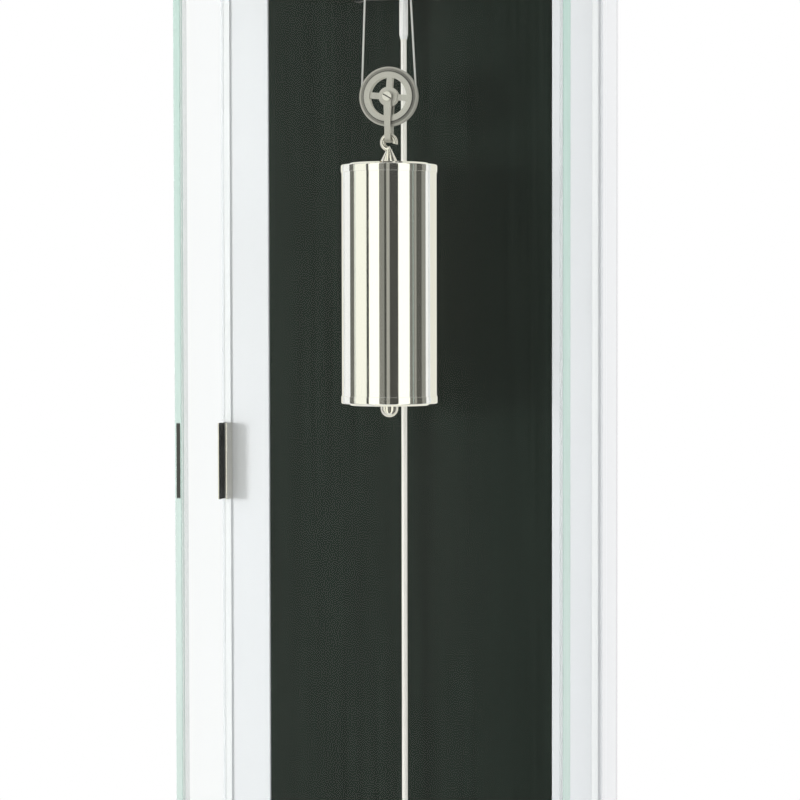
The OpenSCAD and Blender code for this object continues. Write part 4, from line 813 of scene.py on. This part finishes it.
class CLOCK_OT_studio(bpy.types.Operator):
    """Sets the camera, the lamps, the floor and the cards that the metal reflects"""

    bl_idname = "clock.studio"
    bl_label = "Studio"

    CAMERA, AIM = Vector((0.475, -2.076, -0.5152)), Vector((-0.0070, -0.076, -0.5836))
    LENS, ROLL = 119.16, -0.1
    LAMP_AIM = Vector((0, 0, -0.6))
    CARD_REACH, CARD_H, CARD_Z = 3.8, 16, -0.6
    # each card's first and last bearing from the front, and its level
    CARDS = [
        (-96, -80, 0.15), (-80, -42.6, 1.05), (-42.6, -36.2, 0.06), (-36.2, -10.4, 1.3),
        (-10.4, 2.2, 0.25), (2.2, 7.2, 0.06), (7.2, 14.8, 0.4), (14.8, 35.6, 0.06),
        (35.6, 64, 1.3), (64, 77, 0.2), (77, 83, 0.33), (83, 99, 0.09), (99, 113, 0.28),
    ]
    RIM_LEVEL = 0.85

    def execute(self, context):
        scene = context.scene
        scene.view_settings.view_transform = "Standard"
        self.camera(scene)
        self.world(scene)
        self.lamp("key_lamp", Vector((-2.05, -2.44, -0.45)), 0.7, scene.clock_light.key)
        self.lamp("fill_lamp", Vector((2.9, -0.5, 0.2)), 1.6, scene.clock_light.fill)
        self.floor()
        for number, (first, last, level) in enumerate(self.CARDS):
            self.ring_card(number, radians(first), radians(last), level)
        self.rim_card()
        return {"FINISHED"}

    def camera(self, scene):
        data = bpy.data.cameras.new("camera")
        data.lens = self.LENS
        camera = bpy.data.objects.new("camera", data)
        camera.location = self.CAMERA
        camera.rotation_euler = (self.AIM - self.CAMERA).to_track_quat("-Z", "Y").to_euler()
        camera.rotation_euler.rotate_axis("Z", radians(self.ROLL))
        scene.collection.objects.link(camera)
        scene.camera = camera

    def world(self, scene):
        world = scene.world = bpy.data.worlds.new("studio_world")
        world.use_nodes = True
        world.node_tree.nodes.clear()
        nodes = Nodes(world.node_tree)
        level = scene.clock_light.sky
        even = nodes.add("Background", {"Color": (0.97, 0.985, 1, 1), "Strength": level}).outputs[0]
        white = nodes.add("Background", {"Color": (1, 1, 1, 1), "Strength": 1.0}).outputs[0]
        nodes.add("OutputWorld", {"Surface": nodes.shaders(self.seen(nodes), even, white)})

    def seen(self, nodes):
        """One for rays from the camera and through gloss or glass."""
        path = nodes.add("LightPath").outputs
        gloss = nodes.math("MAXIMUM", path["Is Glossy Ray"], path["Is Transmission Ray"])
        return nodes.math("MAXIMUM", path["Is Camera Ray"], gloss)

    def lamp(self, name, place, size, watts):
        data = bpy.data.lights.new(name, "AREA")
        data.shape, data.size, data.energy = "SQUARE", size, watts
        lamp = bpy.data.objects.new(name, data)
        lamp.location = place
        lamp.rotation_euler = (self.LAMP_AIM - place).to_track_quat("-Z", "Y").to_euler()
        lamp.visible_camera = lamp.visible_glossy = False
        bpy.context.scene.collection.objects.link(lamp)

    def one_sided(self, nodes, shader):
        """A shader on the front of a surface, with nothing to see from behind."""
        clear = nodes.add("BsdfTransparent", {"Color": (1, 1, 1, 1)}).outputs[0]
        return nodes.shaders(nodes.behind(), shader, clear)

    def floor(self):
        """Pale paper that keeps the shadow and goes over to white away from the clock."""
        clear_choice()
        place = (0, 0, CAD_BOX[0].z - 0.2 * MM)
        bpy.ops.mesh.primitive_grid_add(x_subdivisions=8, y_subdivisions=8, size=40, location=place)
        floor = bpy.context.object
        floor.name = "floor"
        floor.visible_glossy = False
        nodes = surface("floor_paper", Roughness=0.8)
        paper, end = nodes.tree.nodes["Principled BSDF"], nodes.tree.nodes["Material Output"]
        grain = nodes.noise(nodes.place(), 60.0, 4.0)
        nodes.fill(paper, Base_Color=nodes.mixed(grain, (0.80, 0.80, 0.80, 1), (0.84, 0.84, 0.84, 1)))
        away = nodes.span(nodes.vector("LENGTH", nodes.place()), 0.7, 1.6)
        white = nodes.add("Emission", {"Color": (1, 1, 1, 1), "Strength": 1.0}).outputs[0]
        top = nodes.shaders(nodes.product(away, self.seen(nodes)), paper.outputs[0], white)
        nodes.fill(end, Surface=self.one_sided(nodes, top))
        floor.data.materials.append(nodes.material)

    def ring_card(self, number, first, last, level):
        """A card that stands between two bearings round the weight."""
        bearing, half = (first + last) / 2, (last - first) / 2
        y = middle("weight_shell").y - self.CARD_REACH * cos(bearing)
        place = (self.CARD_REACH * sin(bearing), y, self.CARD_Z)
        self.card(number, place, bearing + pi, (2 * self.CARD_REACH * tan(half), self.CARD_H), level)

    def rim_card(self):
        """A card over the panel, seen only from its front and only in the metal's rims."""
        low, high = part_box("black_panel")
        place = (0, low.y - 1.5 * MM, (low.z + high.z) / 2)
        self.card("rim", place, 0, (high.x - low.x, high.z - low.z), self.RIM_LEVEL)

    def card(self, name, place, turn, size, level):
        clear_choice()
        bpy.ops.mesh.primitive_plane_add(size=1)
        card = bpy.context.object
        card.name = f"card_{name}"
        card.scale = (*size, 1)
        card.rotation_euler = (pi / 2, 0, turn)
        card.location = place
        nodes = bare(card.name)
        warm = (level, level * 0.99, level * 0.88, 1)
        light = nodes.add("Emission", {"Color": warm, "Strength": 1.0}).outputs[0]
        nodes.add("OutputMaterial", {"Surface": self.one_sided(nodes, light)})
        card.data.materials.append(nodes.material)
        for ray in ("camera", "diffuse", "shadow", "transmission", "volume_scatter"):
            setattr(card, "visible_" + ray, False)


class CLOCK_OT_case(bpy.types.Operator):
    """Lacquers the boards and lays the black panel in its recess"""

    bl_idname = "clock.case"
    bl_label = "Case"

    def execute(self, context):
        sizes = context.scene.clock_sizes
        white = ("white_lacquer", "case", "white_lacquer", sizes.board_edge)
        dressed("case_side_left case_side_right", "case_sides", *white)
        dressed("case_top_rail case_bottom_rail", "case_rails", *white)
        dressed("front_board", "case_front", *white, corner=40)
        dressed("black_panel", "panel", "black_panel", "case", "black_veneer", sizes.board_edge)
        return {"FINISHED"}


class CLOCK_OT_wall_fittings(bpy.types.Operator):
    """Makes the back board, the hanging plate and the rubber buffers"""

    bl_idname = "clock.wall_fittings"
    bl_label = "Wall fittings"

    SIDE_INSET, END_INSET, ROWS = 9 * MM, 12 * MM, 6
    PLATE_INSET = 6 * MM

    def execute(self, context):
        dressed("back_board", "back_cover", "backing", "case", "backing", 0.4 * MM)
        dressed("hanging_plate", "hanger", "satin_steel", "case", "steel", 0.4 * MM)
        self.buffers()
        low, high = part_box("back_board")
        pitch = (high.z - low.z - 2 * self.END_INSET) / (self.ROWS - 1)
        spots = []
        for x in (low.x + self.SIDE_INSET, high.x - self.SIDE_INSET):
            for k in range(self.ROWS):
                z = low.z + self.END_INSET + k * pitch
                spots.append((x, high.y - 0.2 * MM, z, 17 * k + 40 * (x > 0)))
        screws("back_screws", "back", spots, 2.8 * MM, 0.8 * MM, "satin_steel")
        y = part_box("hanging_plate")[1].y - 0.35 * MM
        places = corners("hanging_plate", self.PLATE_INSET)
        spots = [(x, y, z, 30 + 25 * k) for k, (x, z) in enumerate(places)]
        screws("hanger_screws", "back", spots, 2.6 * MM, 0.35 * MM)
        return {"FINISHED"}

    def buffers(self):
        """Two turned feet with a hollow in their faces."""
        low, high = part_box("wall_buffers")
        _, thick, wide = size_mm("wall_buffers")
        r = wide / 2
        profile = [(r - 0.6, 0), (r, 0.5), (r - 0.4, thick - 0.7), (r - 1.4, thick)]
        profile += [(r * 0.3, thick), (r * 0.25, thick * 0.5)]
        ends, z = (low.x + r * MM, high.x - r * MM), (low.z + high.z) / 2
        feet = [turned(profile, Vector((x, low.y, z)), "back", 48) for x in ends]
        finish(joined(feet), "buffers", "black_rubber", "case", "rubber", "wall_buffers")


class CLOCK_OT_hood(bpy.types.Operator):
    """Makes the glass hood's panes and the clear beads in its corners"""

    bl_idname = "clock.hood"
    bl_label = "Glass hood"

    # each pane with the axis across its sheet
    PANES = (("front", 1), ("left", 0), ("right", 0), ("top", 2), ("bottom", 2))

    def execute(self, context):
        sizes = context.scene.clock_sizes
        for side, thin in self.PANES:
            name, node = f"glass_{side}_pane", f"hood_{side}_pane"
            pane = dressed(node, name, "clear_glass", "hood", "glass", sizes.glass_arris, 1, angle=10)
            pane.data.materials.append(look_of("glass_edge"))
            for face in pane.data.polygons:
                face.material_index = 0 if abs(face.normal[thin]) > 0.95 else 1
        dressed("hood_beads", "beads", "clear_bead", "hood", "bead", 0.5 * MM, 3, angle=60)
        return {"FINISHED"}


class CLOCK_OT_hinges(bpy.types.Operator):
    """Makes the hood's two hinges with their screws"""

    bl_idname = "clock.hinges"
    bl_label = "Hinges"

    LEAF_H, LEAF_T, INSET, SPACING, HEAD = 54 * MM, 1.5 * MM, 11 * MM, 18 * MM, 0.9 * MM

    def execute(self, context):
        sizes = context.scene.clock_sizes
        for body in ("case", "hood"):
            name = f"hinge_{body}_leaves"
            dressed(body + "_hinges", name, "satin_steel", body, "steel", sizes.metal_edge * 0.7)
        low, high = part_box("case_hinges")
        middles = (low.z + self.LEAF_H / 2, high.z - self.LEAF_H / 2)
        case_y, hood_y = high.y - self.INSET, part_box("hood_hinges")[0].y + self.INSET
        for body, board, y, turn, swing in (
            ("case", "case_side_right", case_y, 25, 50),
            ("hood", "hood_right_pane", hood_y, 70, -35),
        ):
            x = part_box(board)[1].x + self.LEAF_T
            steps = [(z, step) for z in middles for step in (-1, 0, 1)]
            spots = [(x, y, z + step * self.SPACING, turn + swing * step) for z, step in steps]
            screws(f"hinge_{body}_screws", "right", spots, sizes.hinge_screw, self.HEAD, body=body)
        return {"FINISHED"}


class CLOCK_OT_catch(bpy.types.Operator):
    """Makes the clip on the glass, its pad and the magnet that holds it"""

    bl_idname = "clock.catch"
    bl_label = "Catch"

    def execute(self, context):
        dressed("catch_clip", "clip", "polished_nickel", "hood", "polished_steel", 0.25 * MM, 3)
        dressed("clip_pad", "pad", "black_rubber", "hood", "black_pad", 0.15 * MM)
        dressed("catch_magnet", "magnet", "magnet_grey", "case", "magnet", 0.3 * MM)
        return {"FINISHED"}


class CLOCK_OT_movement_frame(bpy.types.Operator):
    """Makes the plates, the pillars and the cock that carries the pendulum"""

    bl_idname = "clock.movement_frame"
    bl_label = "Movement frame"

    PILLAR_R = 5
    COCK_SCREW_X, COCK_SCREW_DOWN, COCK_FACE = 9 * MM, 8 * MM, 4 * MM

    def execute(self, context):
        sizes = context.scene.clock_sizes
        for node, name, look, slot in (
            ("base_plate", "wall_bracket", "dark_plating", "dark_plate"),
            ("back_plate", "rear_plate", "dark_plating", "dark_plate"),
            ("front_plate", "fore_plate", "grained_brass", "brass"),
            ("suspension_cock", "cock", "satin_steel", "steel"),
        ):
            dressed(node, name, look, "case", slot, sizes.metal_edge, corner=40)
        self.pillars()
        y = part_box("pillars")[0].y + 0.2 * MM
        places = corners("pillars", self.PILLAR_R * MM)
        spots = [(x, y, z, 35 + 60 * (k // 2)) for k, (x, z) in enumerate(places)]
        screws("pillar_screws", "front", spots, sizes.plate_screw, 1.2 * MM, "blued_steel", slot="hand_blue")
        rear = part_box("suspension_cock")[1]
        y, z = rear.y - self.COCK_FACE, rear.z - self.COCK_SCREW_DOWN
        spots = [(x, y, z, 20 + x * 9000) for x in (-self.COCK_SCREW_X, self.COCK_SCREW_X)]
        screws("cock_screws", "front", spots, 2.4 * MM)
        return {"FINISHED"}

    def pillars(self):
        """Waisted pillars with a collar at each plate and a pin through the front one."""
        r, neck, tall = self.PILLAR_R, self.PILLAR_R * 0.62, size_mm("pillars").y
        profile = [(r * 0.7, 0), (r, 0.3), (r, 3.7), (r * 0.8, 4), (neck * 1.15, 6), (neck, 9)]
        profile += [(neck, tall - 17), (neck * 1.15, tall - 14), (r * 0.8, tall - 12), (r, tall - 11)]
        profile += [(r, tall - 7), (r * 0.9, tall - 6), (r * 0.68, tall - 6), (r * 0.68, tall)]
        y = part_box("pillars")[1].y
        made = [turned(profile, Vector((x, y, z)), "front", 48) for x, z in corners("pillars", r * MM)]
        finish(joined(made), "turned_pillars", "grained_brass", "case", "brass", "pillars")


class CLOCK_OT_train(bpy.types.Operator):
    """Finishes the wheels, the arbors, the barrel and the escapement"""

    bl_idname = "clock.train"
    bl_label = "Train and escapement"

    def execute(self, context):
        paint("grained_brass", "centre_wheel", "third_arbor", "escape_wheel", "great_wheel")
        paint("grained_brass", "minute_wheel", "hour_wheel")
        paint("polished_steel", "centre_arbor", "escape_arbor")
        paint("barrel_brass", "barrel")
        dressed("anchor", "pallet_arbor", "polished_steel", "anchor_set", "arbor_steel", 0.2 * MM, 1, 40)
        dressed("crutch", "crutch_arm", "satin_steel", "anchor_set", "steel", 0.25 * MM, 1, 40)
        self.collets()
        return {"FINISHED"}

    def collets(self):
        """Small turned seats that hold the wheels on their arbors."""
        bore = 1.65
        for node, body, reach in (("centre_wheel", "centre", 5.4), ("escape_wheel", "escape", 4.2)):
            profile = [(bore, 0), (reach, 0), (reach, 0.5)]
            profile += [(reach * 0.75, 1.1), (bore * 1.4, 1.3), (bore, 1.3)]
            place = Vector((0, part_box(node)[0].y + 0.02 * MM, middle(node).z))
            seat = turned(profile, place, "front", 40, ring=True)
            finish(seat, body + "_collet", "grained_brass", body, "brass")


class CLOCK_OT_dial(bpy.types.Operator):
    """Makes the dial, its rings, markers and numbers"""

    bl_idname = "clock.dial"
    bl_label = "Dial"

    CHAPTER_R, SECONDS_OUT, SECONDS_IN = 78, 27, 21
    HOURS_R, SECONDS_R = 70.5, 17.6
    # how many marks, half their width, their front and back, and how far out they reach
    HOUR_MARKS = (
        (12, 1.5, (-1.1, -0.78), (83, 96.5), 0.25),
        (60, 0.2, (-0.86, -0.78), (98.8, 101.8), 0),
        (12, 0.55, (-0.88, -0.78), (98.8, 101.8), 0),
    )
    SECONDS_MARKS = (
        (60, 0.12, (-0.46, -0.38), (24.6, 26.6), 0),
        (12, 0.3, (-0.46, -0.38), (23.4, 26.6), 0),
    )

    def execute(self, context):
        sizes = context.scene.clock_sizes
        dressed("dial_plate", "dial", "silvered_dial", "case", "dial_white", 0.3 * MM, corner=40)
        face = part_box("chapter_ring")[1].y
        centre, seconds, barrel = (
            Vector((0, face, middle(node).z)) for node in ("dial_plate", "escape_wheel", "barrel")
        )
        centre.x = middle("dial_plate").x
        chapter = self.ring(size_mm("chapter_ring").x / 2, self.CHAPTER_R, 0.8, centre)
        small = self.ring(self.SECONDS_OUT, self.SECONDS_IN, 0.4, seconds)
        finish(joined([chapter, small]), "dial_rings", "satin_ring", "case", "dial_ring", "chapter_ring")
        marks = []
        for place, rows in ((centre, self.HOUR_MARKS), (seconds, self.SECONDS_MARKS)):
            marks += [ring_of(place, *row) for row in rows]
        marks.append(numerals(range(1, 13), self.HOURS_R, sizes.numeral, centre + 0.02 * MM * FRONT))
        marks.append(numerals(range(10, 70, 10), self.SECONDS_R, sizes.seconds_numeral, seconds))
        finish(joined(marks), "dial_print", "black_enamel", "case", "dial_ring", angle=20)
        finish(self.ring(6.3, 4.6, 0.6, barrel), "winding_grommet", "turned_brass", "case", "brass")
        return {"FINISHED"}

    def ring(self, outer, inner, thick, centre):
        edge = thick * 0.25
        profile = [(inner, 0), (outer, 0), (outer, thick - edge), (outer - edge, thick)]
        profile += [(inner + edge, thick), (inner, thick - edge)]
        return turned(profile, centre, "front", 128, ring=True)


class CLOCK_OT_hands(bpy.types.Operator):
    """Makes the three hands and the collet before the minute hand"""

    bl_idname = "clock.hands"
    bl_label = "Hands"

    def execute(self, context):
        for node, body, edge in (
            ("minute_hand", "centre", 0.35),
            ("hour_hand", "hour_work", 0.35),
            ("second_hand", "escape", 0.22),
        ):
            dressed(node, "blued_" + node, "blued_steel", body, "hand_blue", edge * MM, 2, 50)
        hub = Vector((0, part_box("minute_hand")[0].y, middle("dial_plate").z))
        room = (hub.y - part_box("centre_arbor")[0].y) / MM
        bore = 1.65
        profile = [(3.9, 0), (3.9, room * 0.25), (3.4, room * 0.5), (2.4, room * 0.8)]
        profile += [(bore + 0.1, room * 0.98), (bore, room * 0.98), (bore, 0)]
        collet = turned(profile, hub, "front", 48, ring=True)
        finish(collet, "minute_collet", "turned_brass", "centre", "brass")
        return {"FINISHED"}


class CLOCK_OT_pendulum(bpy.types.Operator):
    """Makes the spring, the rod with its sleeve, the bob and the rating nut"""

    bl_idname = "clock.pendulum"
    bl_label = "Pendulum"

    SPRING_SCREW_DOWN = 5.5 * MM

    def execute(self, context):
        paint("polished_steel", "suspension_spring")
        dressed("pendulum_rod", "rod", "rod_metal", "pendulum", "rod_white", 0.25 * MM)
        dressed("rod_sleeve", "sleeve", "sleeve_metal", "pendulum", "rod_white", 0.25 * MM)
        dressed("bob", "lens_bob", "polished_bob", "bob_body", "polished_steel", 0.6 * MM, 3, 30, angle=25)
        self.nut()
        low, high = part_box("pendulum_rod")
        spot = (0, low.y + 0.1 * MM, high.z - self.SPRING_SCREW_DOWN, 15)
        screws("spring_screw", "front", [spot], 2.2 * MM, 0.8 * MM, "blued_steel", "pendulum", "hand_blue")
        return {"FINISHED"}

    def nut(self):
        """The rating nut, with a straight knurl cut round its rim."""
        low, high = (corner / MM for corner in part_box("rating_nut"))
        r, top, bottom, bore, body = (high.x - low.x) / 2, high.z, low.z, 2.35, low.z + 3
        profile = [(bore, bottom), (r - 4.4, bottom), (r - 4, bottom + 0.4), (r - 4, body), (r - 0.6, body)]
        profile += [(r, body + 0.6), (r, top - 1.6), (r - 0.6, top - 1), (r - 1.5, top - 1)]
        profile += [(r - 1.5, top - 0.2), (r - 1.7, top), (bore, top)]
        place = middle("rating_nut")
        place.z = 0
        nut = turned(profile, place, "up", 120, ring=True)

        def every_other_on_rim(face):
            out = (face.calc_center_median() - place).xy.length
            return abs(face.normal.z) < 0.2 and out > r * MM * 0.98 and face.index % 2 == 0

        bpy.ops.object.mode_set(mode="EDIT")
        pick_faces(every_other_on_rim)
        bpy.ops.mesh.inset(thickness=0.04 * MM, depth=-0.35 * MM, use_individual=True)
        bpy.ops.object.mode_set(mode="OBJECT")
        finish(nut, "knurled_nut", "grained_brass", "nut_body", "brass", "rating_nut", angle=20)


class CLOCK_OT_lines(bpy.types.Operator):
    """Lays up the line from the barrel, round the pulley and up to its stud"""

    bl_idname = "clock.lines"
    bl_label = "Line"

    TURNS = 12

    def execute(self, context):
        sizes = context.scene.clock_sizes
        lay = sizes.line_lay
        spacing = lay / 12
        wind_low, wind_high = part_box("line_winding")
        bend_low, bend_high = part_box("line_bend")
        y = (bend_low.y + bend_high.y) / 2
        pulley = Vector((middle("line_bend").x, y, bend_high.z))
        reach = (bend_high.x - bend_low.x) / 2 - LINE_R
        spool = Vector((0, y, (wind_low.z + wind_high.z) / 2))
        wound = (wind_high.x - wind_low.x) / 2 - LINE_R
        start = Vector((-wound, y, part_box("line_left")[1].z))
        right_low, right_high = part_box("line_right")
        stud = Vector((right_low.x + LINE_R, y, right_high.z))
        for name, top, side, node in (
            ("line_down", start, -reach * RIGHT, "line_left"),
            ("line_up", stud, reach * RIGHT, "line_right"),
        ):
            run = laid_line(between(top, pulley + side, spacing), lay, spacing)
            self.hang(run, name, top.z, pulley.z, node)
        steps = round(pi * reach / spacing)
        arc = [pulley - reach * heading(pi * k / steps) for k in range(steps + 1)]
        bend = laid_line(arc, lay, spacing)
        finish(bend, "line_round_pulley", "stranded_line", "block", "line", "line_bend", angle=60)
        self.winding(spool, wound, lay, wind_high.y)
        self.ferrule(stud)
        return {"FINISHED"}

    def hang(self, piece, name, top, low, node):
        """A straight run, named, smoothed and given the line's material in place of its CAD node."""
        choose(piece)
        piece.name = piece.data.name = name
        bpy.ops.object.shade_smooth_by_angle(angle=radians(60))
        piece.data.materials.append(look_of("stranded_line"))
        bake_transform(piece)
        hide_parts(node)

    def winding(self, spool, wound, lay, last):
        """The line's turns on the barrel, from its place over the pulley to the barrel's rear."""
        spacing = lay / 8
        steps = round(self.TURNS * 2 * pi * wound / spacing)
        depth = last - LINE_R - spool.y
        points = []
        for k in range(steps + 1):
            around = pi - 2 * pi * self.TURNS * k / steps
            points.append(spool + wound * heading(around) - depth * k / steps * FRONT)
        coil = laid_line(points, lay, spacing)
        finish(coil, "line_on_barrel", "stranded_line", "winding_barrel", "line", "line_winding", angle=60)

    def ferrule(self, stud):
        """The crimped sleeve that closes the line's end below its stud."""
        profile = [(0.8, -9), (1.25, -8.8), (1.4, -8.2), (1.4, -1.2), (1.25, -0.6), (0.8, -0.4)]
        finish(turned(profile, stud, "up", 32), "line_ferrule", "satin_nickel", "case", "satin_nickel")


class CLOCK_OT_pulley_block(bpy.types.Operator):
    """Makes the pulley, its stirrup and the screw it turns on"""

    bl_idname = "clock.pulley_block"
    bl_label = "Pulley"

    def execute(self, context):
        dressed("pulley", "spoked_pulley", "pulley_nickel", "pulley_wheel", "satin_nickel", 0.3 * MM, 2, 40)
        dressed("stirrup", "strap", "strap_nickel", "block", "satin_nickel", 0.25 * MM, 2, 40)
        return {"FINISHED"}


class CLOCK_OT_weight(bpy.types.Operator):
    """Makes the polished drive weight with its caps, hook and dome nut"""

    bl_idname = "clock.weight"
    bl_label = "Drive weight"

    WALL, ARRIS = 1.5, 0.1
    CAP_BORE, CAP_DISC, CAP_RISE, CAP_DEPTH = 3.05, 29.2, 1.4, 7

    def execute(self, context):
        sizes = context.scene.clock_sizes
        low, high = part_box("weight_shell")
        axis = Vector((0, middle("weight_shell").y, 0))
        r, z0, z1, arris = (high.x - low.x) / 2 / MM, low.z / MM, high.z / MM, self.ARRIS
        tube = [(r - self.WALL, z0), (r - arris, z0), (r, z0 + arris)]
        tube += [(r, z1 - arris), (r - arris, z1), (r - self.WALL, z1)]
        shell = turned(tube, axis, "up", 160, ring=True)
        finish(shell, "weight_tube", "polished_weight", "drive_weight", "polished_steel", "weight_shell")
        self.cap("top", 1, axis, sizes.cap_round / MM)
        self.cap("bottom", -1, axis, sizes.cap_round / MM)
        steel = ("drive_weight", "polished_steel", 0.2 * MM, 2, 35)
        dressed("weight_hook", "hook_and_rod", "polished_nickel", *steel)
        paint("core_metal", "weight_core")
        self.dome_nut()
        return {"FINISHED"}

    def cap(self, end, sense, axis, rounding):
        """A pressed cap: a raised disc inside a rim that is rounded over."""
        node = f"weight_{end}_cap"
        low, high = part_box(node)
        r = (high.x - low.x) / 2 / MM
        outside = (high.z if sense > 0 else low.z) / MM
        bore, disc, rise = self.CAP_BORE, self.CAP_DISC, self.CAP_RISE
        deep, arris = self.CAP_DEPTH, self.ARRIS
        rim = r - rounding
        turns = (0, pi / 8, pi / 4, 3 * pi / 8, pi / 2)
        profile = [(bore, deep), (r - arris, deep), (r, deep - arris)]
        profile += [(rim + rounding * cos(a), rise + rounding - rounding * sin(a)) for a in turns]
        profile += [(disc + rise + 0.3, rise), (disc + rise - 0.2, rise - 0.2), (disc + 0.2, 0.2)]
        profile += [(disc - 0.3, 0), (bore, 0)]
        cap = turned([(x, outside - sense * depth) for x, depth in profile], axis, "up", 160, ring=True)
        name = f"polished_{end}_cap"
        finish(cap, name, "polished_weight", "drive_weight", "polished_steel", node, angle=35)

    def dome_nut(self):
        """An acorn nut, turned with a round head."""
        wide, _, tall = size_mm("dome_nut")
        r, place = wide / 2, middle("dome_nut")
        place.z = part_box("dome_nut")[1].z
        profile = [(r - 0.3, 0), (r, -0.3), (r, r - tall)]
        turns = [k * pi / 16 for k in range(1, 8)]
        profile += [(r * cos(a), r - tall - r * sin(a)) for a in turns] + [(0, -tall)]
        nut = turned(profile, place, "up", 64)
        finish(nut, "acorn_nut", "polished_nickel", "drive_weight", "brass", "dome_nut", angle=50)


class CLOCK_OT_beat_scale(bpy.types.Operator):
    """Makes the scale under the pendulum's tip"""

    bl_idname = "clock.beat_scale"
    bl_label = "Beat scale"

    STEP, EDGE, SCREW_INSET, SCREW_DOWN = 3.4 * MM, 0.8 * MM, 9 * MM, 11 * MM

    def execute(self, context):
        dressed("beat_scale", "scale_bracket", "satin_steel", "case", "steel", 0.35 * MM)
        low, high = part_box("beat_scale")
        front = low.y + self.EDGE
        marks = []
        for k in range(-10, 11):
            x = k * self.STEP
            long, half = (5 * MM, 0.22 * MM) if k % 5 == 0 else (3 * MM, 0.13 * MM)
            bottom, top = high.z - 0.05 * MM, high.z + 0.02 * MM
            marks.append(slab((x - half, front, bottom), (x + half, front + long, top)))
            close_mesh()
        finish(joined(marks), "scale_marks", "black_enamel", "case", "steel", angle=20)
        y, z = high.y - 2 * MM, high.z - self.SCREW_DOWN
        sides = (low.x + self.SCREW_INSET, high.x - self.SCREW_INSET)
        screws("scale_screws", "front", [(x, y, z, 30 + 2000 * x) for x in sides], 2.6 * MM)
        return {"FINISHED"}


OPERATORS = [
    CLOCK_OT_studio, CLOCK_OT_case, CLOCK_OT_wall_fittings, CLOCK_OT_hood, CLOCK_OT_hinges,
    CLOCK_OT_catch, CLOCK_OT_movement_frame, CLOCK_OT_train, CLOCK_OT_dial, CLOCK_OT_hands,
    CLOCK_OT_pendulum, CLOCK_OT_lines, CLOCK_OT_pulley_block, CLOCK_OT_weight, CLOCK_OT_beat_scale,
]


class CLOCK_PT_pieces(bpy.types.Panel):
    """Lists the clock's settings and pieces"""

    bl_idname = "CLOCK_PT_pieces"
    bl_label = "Wall Regulator Clock"
    bl_space_type = "VIEW_3D"
    bl_region_type = "UI"
    bl_category = "Clock"

    def draw(self, context):
        for name in SETTINGS:
            group, box = getattr(context.scene, name), self.layout.box()
            for setting in group.__annotations__:
                box.prop(group, setting)
        for operator in OPERATORS:
            self.layout.operator(operator.bl_idname)


CLASSES = [*SETTINGS.values(), *OPERATORS, CLOCK_PT_pieces]


def register():
    for made in CLASSES:
        bpy.utils.register_class(made)
    for setting, made in SETTINGS.items():
        setattr(bpy.types.Scene, setting, bpy.props.PointerProperty(type=made))


def unregister():
    for setting in SETTINGS:
        delattr(bpy.types.Scene, setting)
    for made in reversed(CLASSES):
        bpy.utils.unregister_class(made)


def main():
    register()
    for operator in OPERATORS:
        getattr(bpy.ops.clock, operator.bl_idname.split(".")[1])()
    clear_choice()


if __name__ == "__main__":
    main()
